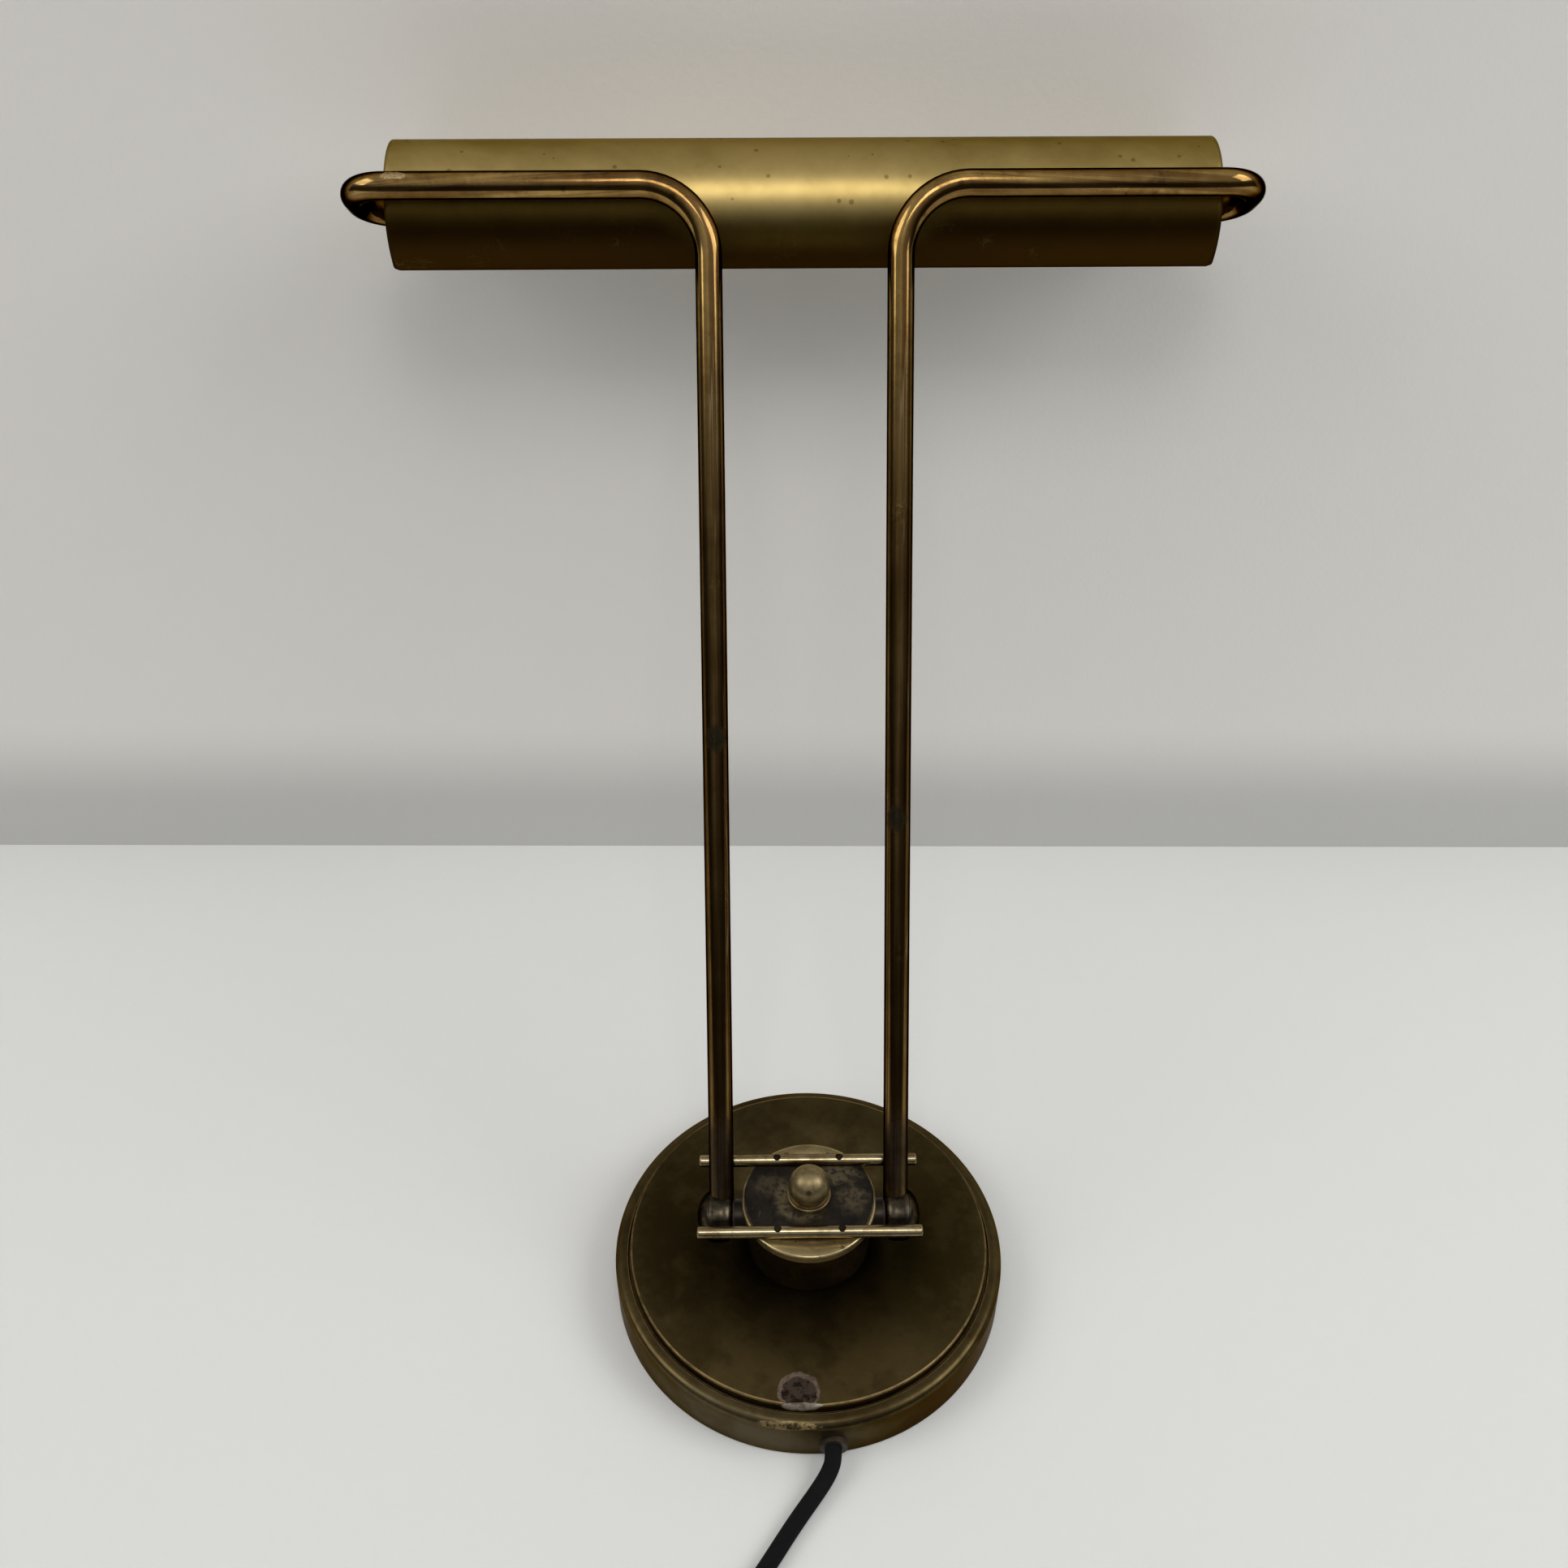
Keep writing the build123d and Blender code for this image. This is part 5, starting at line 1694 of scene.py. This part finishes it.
@dataclass
class SupplyCord(Assembly):
    """The textile cord with its switch and plug. Route points in millimetres.

    The cord follows the lead's points into the switch. Then it goes by runs of heading in degrees, length
    and rise: a first run, the link's runs to the coil, and the tail's runs from the coil to the plug. The
    link's last two points lie beside the coil's start, at the ends' distances.
    """

    diameter: float = 6.5
    exit: Place = (8.0, -75.0, 8.0)
    lead_points: tuple[Place, ...] = (
        (8.0, -85.2, 8.0),
        (6.4, -89.6, 6.6),
        (2.6, -95.2, 4.9),
        (-7.0, -107.4, 3.4),
        (-17.3, -122.9, 3.3),
        (-24.2, -133.2, 4.6),
        (-30.4, -143.1, 7.0),
    )
    switch_start: Place = (-34.0, -148.5, 7.0)
    switch_heading: float = -123.2
    switch_length: float = 62.0
    switch_depth: float = 4.0
    first_run: float = 12.5
    link_runs: tuple[Place, ...] = (
        (-98.6, 10.7, -0.7),
        (-74.0, 10.7, -1.0),
        (-49.3, 10.7, -0.9),
        (-26.6, 10.7, -0.7),
        (-7.0, 16.0, -0.4),
    )
    link_ends: tuple[float, float] = (30.5, 6.5)
    coil_centre: tuple[float, float] = (18.0, -194.0)
    coil_mean: float = 33.9
    coil_pitch: float = 7.2
    half_turns: int = 7
    climb_inset: float = 1.0
    points_per_turn: int = 16
    tail_runs: tuple[Place, ...] = (
        (90.0, 15.5, 0.0),
        (66.0, 11.0, -0.5),
        (42.0, 11.0, -1.3),
        (18.0, 11.0, -1.8),
        (-6.0, 13.0, 0.0),
    )
    line_order: int = 3
    line_steps: int = 6
    section_steps: int = 5

    @staticmethod
    def headed(start: np.ndarray, runs: tuple[Place, ...]) -> np.ndarray:
        """The ends of runs that follow each other: sums of steps.

        Args:
            start: The point where the first run starts.
            runs: Heading in degrees, length and rise of each run.

        Returns:
            The ends, one row each.
        """
        heading, length, rise = np.array(runs, dtype=float).T
        heading = np.radians(heading)
        steps = np.stack([length * np.cos(heading), length * np.sin(heading), rise], axis=1)
        return start + np.cumsum(steps, axis=0)

    def coil(self) -> np.ndarray:
        """The coil's points: the angle grows steadily.

        The radius shrinks by half a pitch each half turn, then grows again on the second layer, which ends
        a quarter turn further. The points lie outside the wanted radius by one over the cosine of half the
        step between them, because the smooth line runs inside its points.

        Returns:
            The points, one row each.
        """
        step = self.coil_pitch / 2
        outer = self.coil_mean + step * self.half_turns / 2
        inward = outer - step * np.arange(self.half_turns)
        inner = inward[-1] - step - self.climb_inset
        radii = np.concatenate([inward, [inner, inner], inward[:0:-1]])
        turns = len(radii) - 1 + 0.5
        radii = np.append(radii, radii[-1] + step)
        count = int(turns / 2 * self.points_per_turn)
        half_turn = np.linspace(0, turns, count + 1)
        angle = half_turn * pi - pi / 2
        radius = np.interp(half_turn, np.arange(len(radii)), radii)
        radius = radius / cos(pi / self.points_per_turn)
        climb = np.clip(half_turn - self.half_turns, 0, 1)
        smooth = climb * climb * (3 - 2 * climb)
        height = self.diameter / 2 + self.coil_pitch * smooth
        level = radius[:, None] * np.stack([np.cos(angle), np.sin(angle)], axis=1) + self.coil_centre
        return np.column_stack([level, height])

    def switch_along(self) -> np.ndarray:
        """The direction from the switch's inlet to its outlet."""
        heading = radians(self.switch_heading)
        return np.array([cos(heading), sin(heading), 0.0])

    def lead(self) -> np.ndarray:
        """The cord's points from the base into the switch."""
        inside = np.array(self.switch_start) + self.switch_along() * self.switch_depth
        return np.array([self.exit, *self.lead_points, inside])

    def supply(self) -> np.ndarray:
        """The cord's points from the switch's outlet, through the coil, into the plug.

        Returns:
            The points, one row each.
        """
        inside = self.switch_length - self.switch_depth
        start = np.array(self.switch_start) + self.switch_along() * inside
        link = self.headed(start, ((self.switch_heading, self.first_run, 0.0), *self.link_runs))
        coil = self.coil()
        link_end = coil[0] - AXIS_X * np.array(self.link_ends)[:, None]
        tail = self.headed(coil[-1], self.tail_runs)
        return np.concatenate([start[None], link, link_end, coil[1:], tail])

    def lay_cord(
        self, name: str, points: np.ndarray, replaced: tuple[str, ...]
    ) -> tuple[bpy.types.Object, float]:
        """One smooth line with a round section.

        Args:
            name: The piece's name.
            points: Its control points in metres.
            replaced: The CAD nodes that it stands for.

        Returns:
            The curve object and its length in metres.
        """
        curve = bpy.data.curves.new(name, "CURVE")
        curve.dimensions = "3D"
        spline = curve.splines.new("NURBS")
        spline.points.add(len(points) - 1)
        flat = np.concatenate([points, np.ones((len(points), 1))], axis=1)
        spline.points.foreach_set("co", flat.astype(np.float32).ravel())
        spline.order_u = self.line_order
        spline.use_endpoint_u = True
        spline.resolution_u = self.line_steps
        curve.bevel_depth = self.diameter / 2 * MM
        curve.bevel_resolution = self.section_steps
        curve.use_fill_caps = True
        cord = placed(name, curve)
        self.settle(cord, CORD_BRAID, Body.BASE, Slot.TEXTILE, *replaced)
        line = self.centre_line(cord)
        length = float(np.linalg.norm(np.diff(line, axis=0), axis=1).sum())
        log.info("%s is %.4f m long", name, length)
        return cord, round(length, 3)

    def build(self) -> None:
        """The cord from the base to the switch, the longer one to the plug, and what is on them."""
        switch = ["switch_lower_shell", "switch_upper_shell", "switch_rocker", "rocker_pin", "switch_screws"]
        plug = ["plug_body", "plug_pins"]
        self.paint.dress_nodes(BAKELITE, *switch[:3], plug[0])
        self.paint.dress_nodes(STEEL, *switch[3:], plug[1])
        short, long = self.lead() * MM, self.supply() * MM
        cord, length = self.lay_cord("lamp_cord", short, ("cord_lead",))
        cord, length = self.lay_cord("supply_cord", long, ("cord_link", "cord_coil", "cord_tail"))

    @staticmethod
    def centre_line(cord: bpy.types.Object) -> np.ndarray:
        """The points of the cord's smooth line, read from the curve without its thickness.

        Args:
            cord: The curve object.

        Returns:
            The points in metres, one row each.
        """
        plain = cord.copy()
        plain.data = cord.data.copy()
        plain.data.bevel_depth = 0.0
        bpy.context.scene.collection.objects.link(plain)
        bpy.context.view_layer.update()
        mesh = bpy.data.meshes.new_from_object(plain.evaluated_get(bpy.context.evaluated_depsgraph_get()))
        places = np.empty(len(mesh.vertices) * 3)
        mesh.vertices.foreach_get("co", places)
        bpy.data.objects.remove(plain)
        bpy.data.meshes.remove(mesh)
        return places.reshape(-1, 3)


# The room and the camera


@dataclass(frozen=True)
class SoftLight:
    """A square area light that faces a point. Places and size in metres, power in watts."""

    name: str
    place: Place
    aim: Place
    size: float
    power: float
    colour: Colour

    def build(self) -> None:
        """Makes the light, turned so that it faces its aim."""
        data = bpy.data.lights.new(self.name, "AREA")
        data.size = self.size
        data.energy = self.power
        data.color = self.colour
        light = placed(self.name, data)
        light.location = self.place
        light.rotation_euler = (Vector(self.aim) - Vector(self.place)).to_track_quat("-Z", "Y").to_euler()


@dataclass
class Studio:
    """Table, wall, lights and camera. Places in metres, angles in degrees, the film in millimetres."""

    camera_place: Place = (-0.01391, -0.37444, 0.58899)
    camera_pitch: float = 40.30
    camera_yaw: float = -0.616
    camera_roll: float = -0.051
    film: float = 36.0
    focal_share: float = 1935.0 / 1932.0
    nearest: float = 0.01
    wall_place: float = 0.2668
    wall_turn: float = -0.82
    table_front: float = -0.55
    half_width: float = 2.2
    wall_height: float = 2.4
    table_colour: Colour = (0.70, 0.70, 0.68)
    wall_colour: Colour = (0.885, 0.86, 0.82)
    band_colour: Colour = (0.61, 0.605, 0.585)
    band_top: float = 0.090
    band_bottom: float = 0.028
    cloud_scale: float = 3.0
    cloud_dark: float = 0.97
    grain_scale: float = 420.0
    bump: float = 0.25
    bump_distance: float = 0.0004
    dark_below: float = 0.1
    bright_above: float = 0.75
    room_dark: Colour = (0.06, 0.055, 0.05)
    room_bright: Colour = (0.93, 0.95, 0.97)
    room_strength: float = 0.67
    lights: tuple[SoftLight, ...] = (
        SoftLight("ceiling_lamp", (0.0, -0.62, 1.58), (0.0, 0.2, 0.3), 0.46, 4.0, (1.0, 0.98, 0.95)),
        SoftLight("room_left", (-1.6, -0.25, 1.6), (0.0, 0.1, 0.1), 1.2, 12.5, (1.0, 0.99, 0.97)),
        SoftLight("room_right", (1.6, -0.35, 1.6), (0.0, 0.1, 0.1), 1.2, 17.5, (0.98, 0.99, 1.0)),
    )

    def build_camera(self) -> None:
        """The camera: forward from pitch and yaw, then rolled about it."""
        pitch, yaw, roll = radians(self.camera_pitch), radians(self.camera_yaw), radians(self.camera_roll)
        forward = np.array([-sin(yaw) * cos(pitch), cos(yaw) * cos(pitch), -sin(pitch)])
        right = unit(np.cross(forward, AXIS_Z))
        up = np.cross(right, forward)
        matrix = np.eye(4)
        matrix[:3, 0] = cos(roll) * right + sin(roll) * up
        matrix[:3, 1] = cos(roll) * up - sin(roll) * right
        matrix[:3, 2] = -forward
        matrix[:3, 3] = self.camera_place
        data = bpy.data.cameras.new("photo_camera")
        data.sensor_width = self.film
        data.lens = self.film * self.focal_share
        data.clip_start = self.nearest
        camera = placed("photo_camera", data)
        camera.matrix_world = Matrix(matrix.tolist())
        bpy.context.scene.camera = camera

    def painted(self, name: str, colour: Colour, band: Colour | None) -> bpy.types.Material:
        """A faintly uneven, grainy paint. Its back is see-through.

        Args:
            name: The material's name.
            colour: Its colour.
            band: The colour near the table, if it has another there.

        Returns:
            The material.
        """
        material = bpy.data.materials.new(name)
        material.use_nodes = True
        material.node_tree.nodes.clear()
        write = NodeWriter(material.node_tree)
        shader = write.add("ShaderNodeBsdfDiffuse")
        place = write.coordinate("Object")
        cloud = write.noise(place, self.cloud_scale, detail=5.0, rough=0.5)
        paint = write.mix(cloud, colour, tuple(part * self.cloud_dark for part in colour))
        if band is not None:
            height = write.parts(place)[2]
            paint = write.mix(write.spread(height, self.band_top, self.band_bottom), paint, band)
        write.link(paint, shader.inputs["Color"])
        grain = write.noise(place, self.grain_scale, detail=3.0, rough=0.6)
        write.bump(grain, self.bump, self.bump_distance, shader)
        clear = write.add("ShaderNodeBsdfTransparent")
        choose = write.add("ShaderNodeMixShader")
        write.link(write.add("ShaderNodeNewGeometry").outputs["Backfacing"], choose.inputs[0])
        write.link(shader.outputs[0], choose.inputs[1])
        write.link(clear.outputs[0], choose.inputs[2])
        output = write.add("ShaderNodeOutputMaterial")
        write.link(choose.outputs[0], output.inputs["Surface"])
        return material

    def plane(
        self, name: str, corners: list[Place], colour: Colour, band: Colour | None = None
    ) -> bpy.types.Object:
        """A flat painted stage piece.

        Args:
            name: The piece's name.
            corners: Its corners in metres.
            colour: Its paint.
            band: The paint near the table, for the wall.

        Returns:
            The piece.
        """
        mesh = bpy.data.meshes.new(name)
        mesh.from_pydata(corners, [], [tuple(range(len(corners)))])
        mesh.materials.append(self.painted(name, colour, band))
        piece = placed(name, mesh)
        return piece

    def build_world(self) -> None:
        """A soft world, dark below and bright above."""
        world = bpy.data.worlds.new("room")
        world.use_nodes = True
        write = NodeWriter(world.node_tree)
        background = world.node_tree.nodes["Background"]
        height = write.parts(write.coordinate("Generated"))[2]
        rise = write.spread(height, self.dark_below, self.bright_above)
        write.link(write.mix(rise, self.room_dark, self.room_bright), background.inputs["Color"])
        background.inputs["Strength"].default_value = self.room_strength
        bpy.context.scene.world = world
        bpy.context.scene.view_settings.view_transform = "Standard"

    def build_room(self) -> None:
        """Table, wall, lights and the world. The wall is turned a little about the room's middle."""
        wide, high, front = self.half_width, self.wall_height, self.table_front
        drift = wide * tan(radians(self.wall_turn))
        left, right = self.wall_place - drift, self.wall_place + drift
        table = [(-wide, front, 0), (wide, front, 0), (wide, right, 0), (-wide, left, 0)]
        wall = [(-wide, left, 0), (wide, right, 0), (wide, right, high), (-wide, left, high)]
        self.plane("table", table, self.table_colour)
        self.plane("wall", wall, self.wall_colour, self.band_colour)
        for light in self.lights:
            light.build()
        self.build_world()


def main() -> None:
    """Builds the studio and every assembly in order."""
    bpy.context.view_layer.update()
    paint = Paintbox()
    studio = Studio()
    studio.build_camera()
    SupplyCord(paint).build()
    LampBase(paint).build()
    LampHead(paint).build()
    TiltJoints(paint).build()
    arm = ArmTubes(paint)
    arm.build()
    TroughShade(paint, arm).build()
    LightSources(paint).build()
    studio.build_room()


if __name__ == "__main__":
    main()
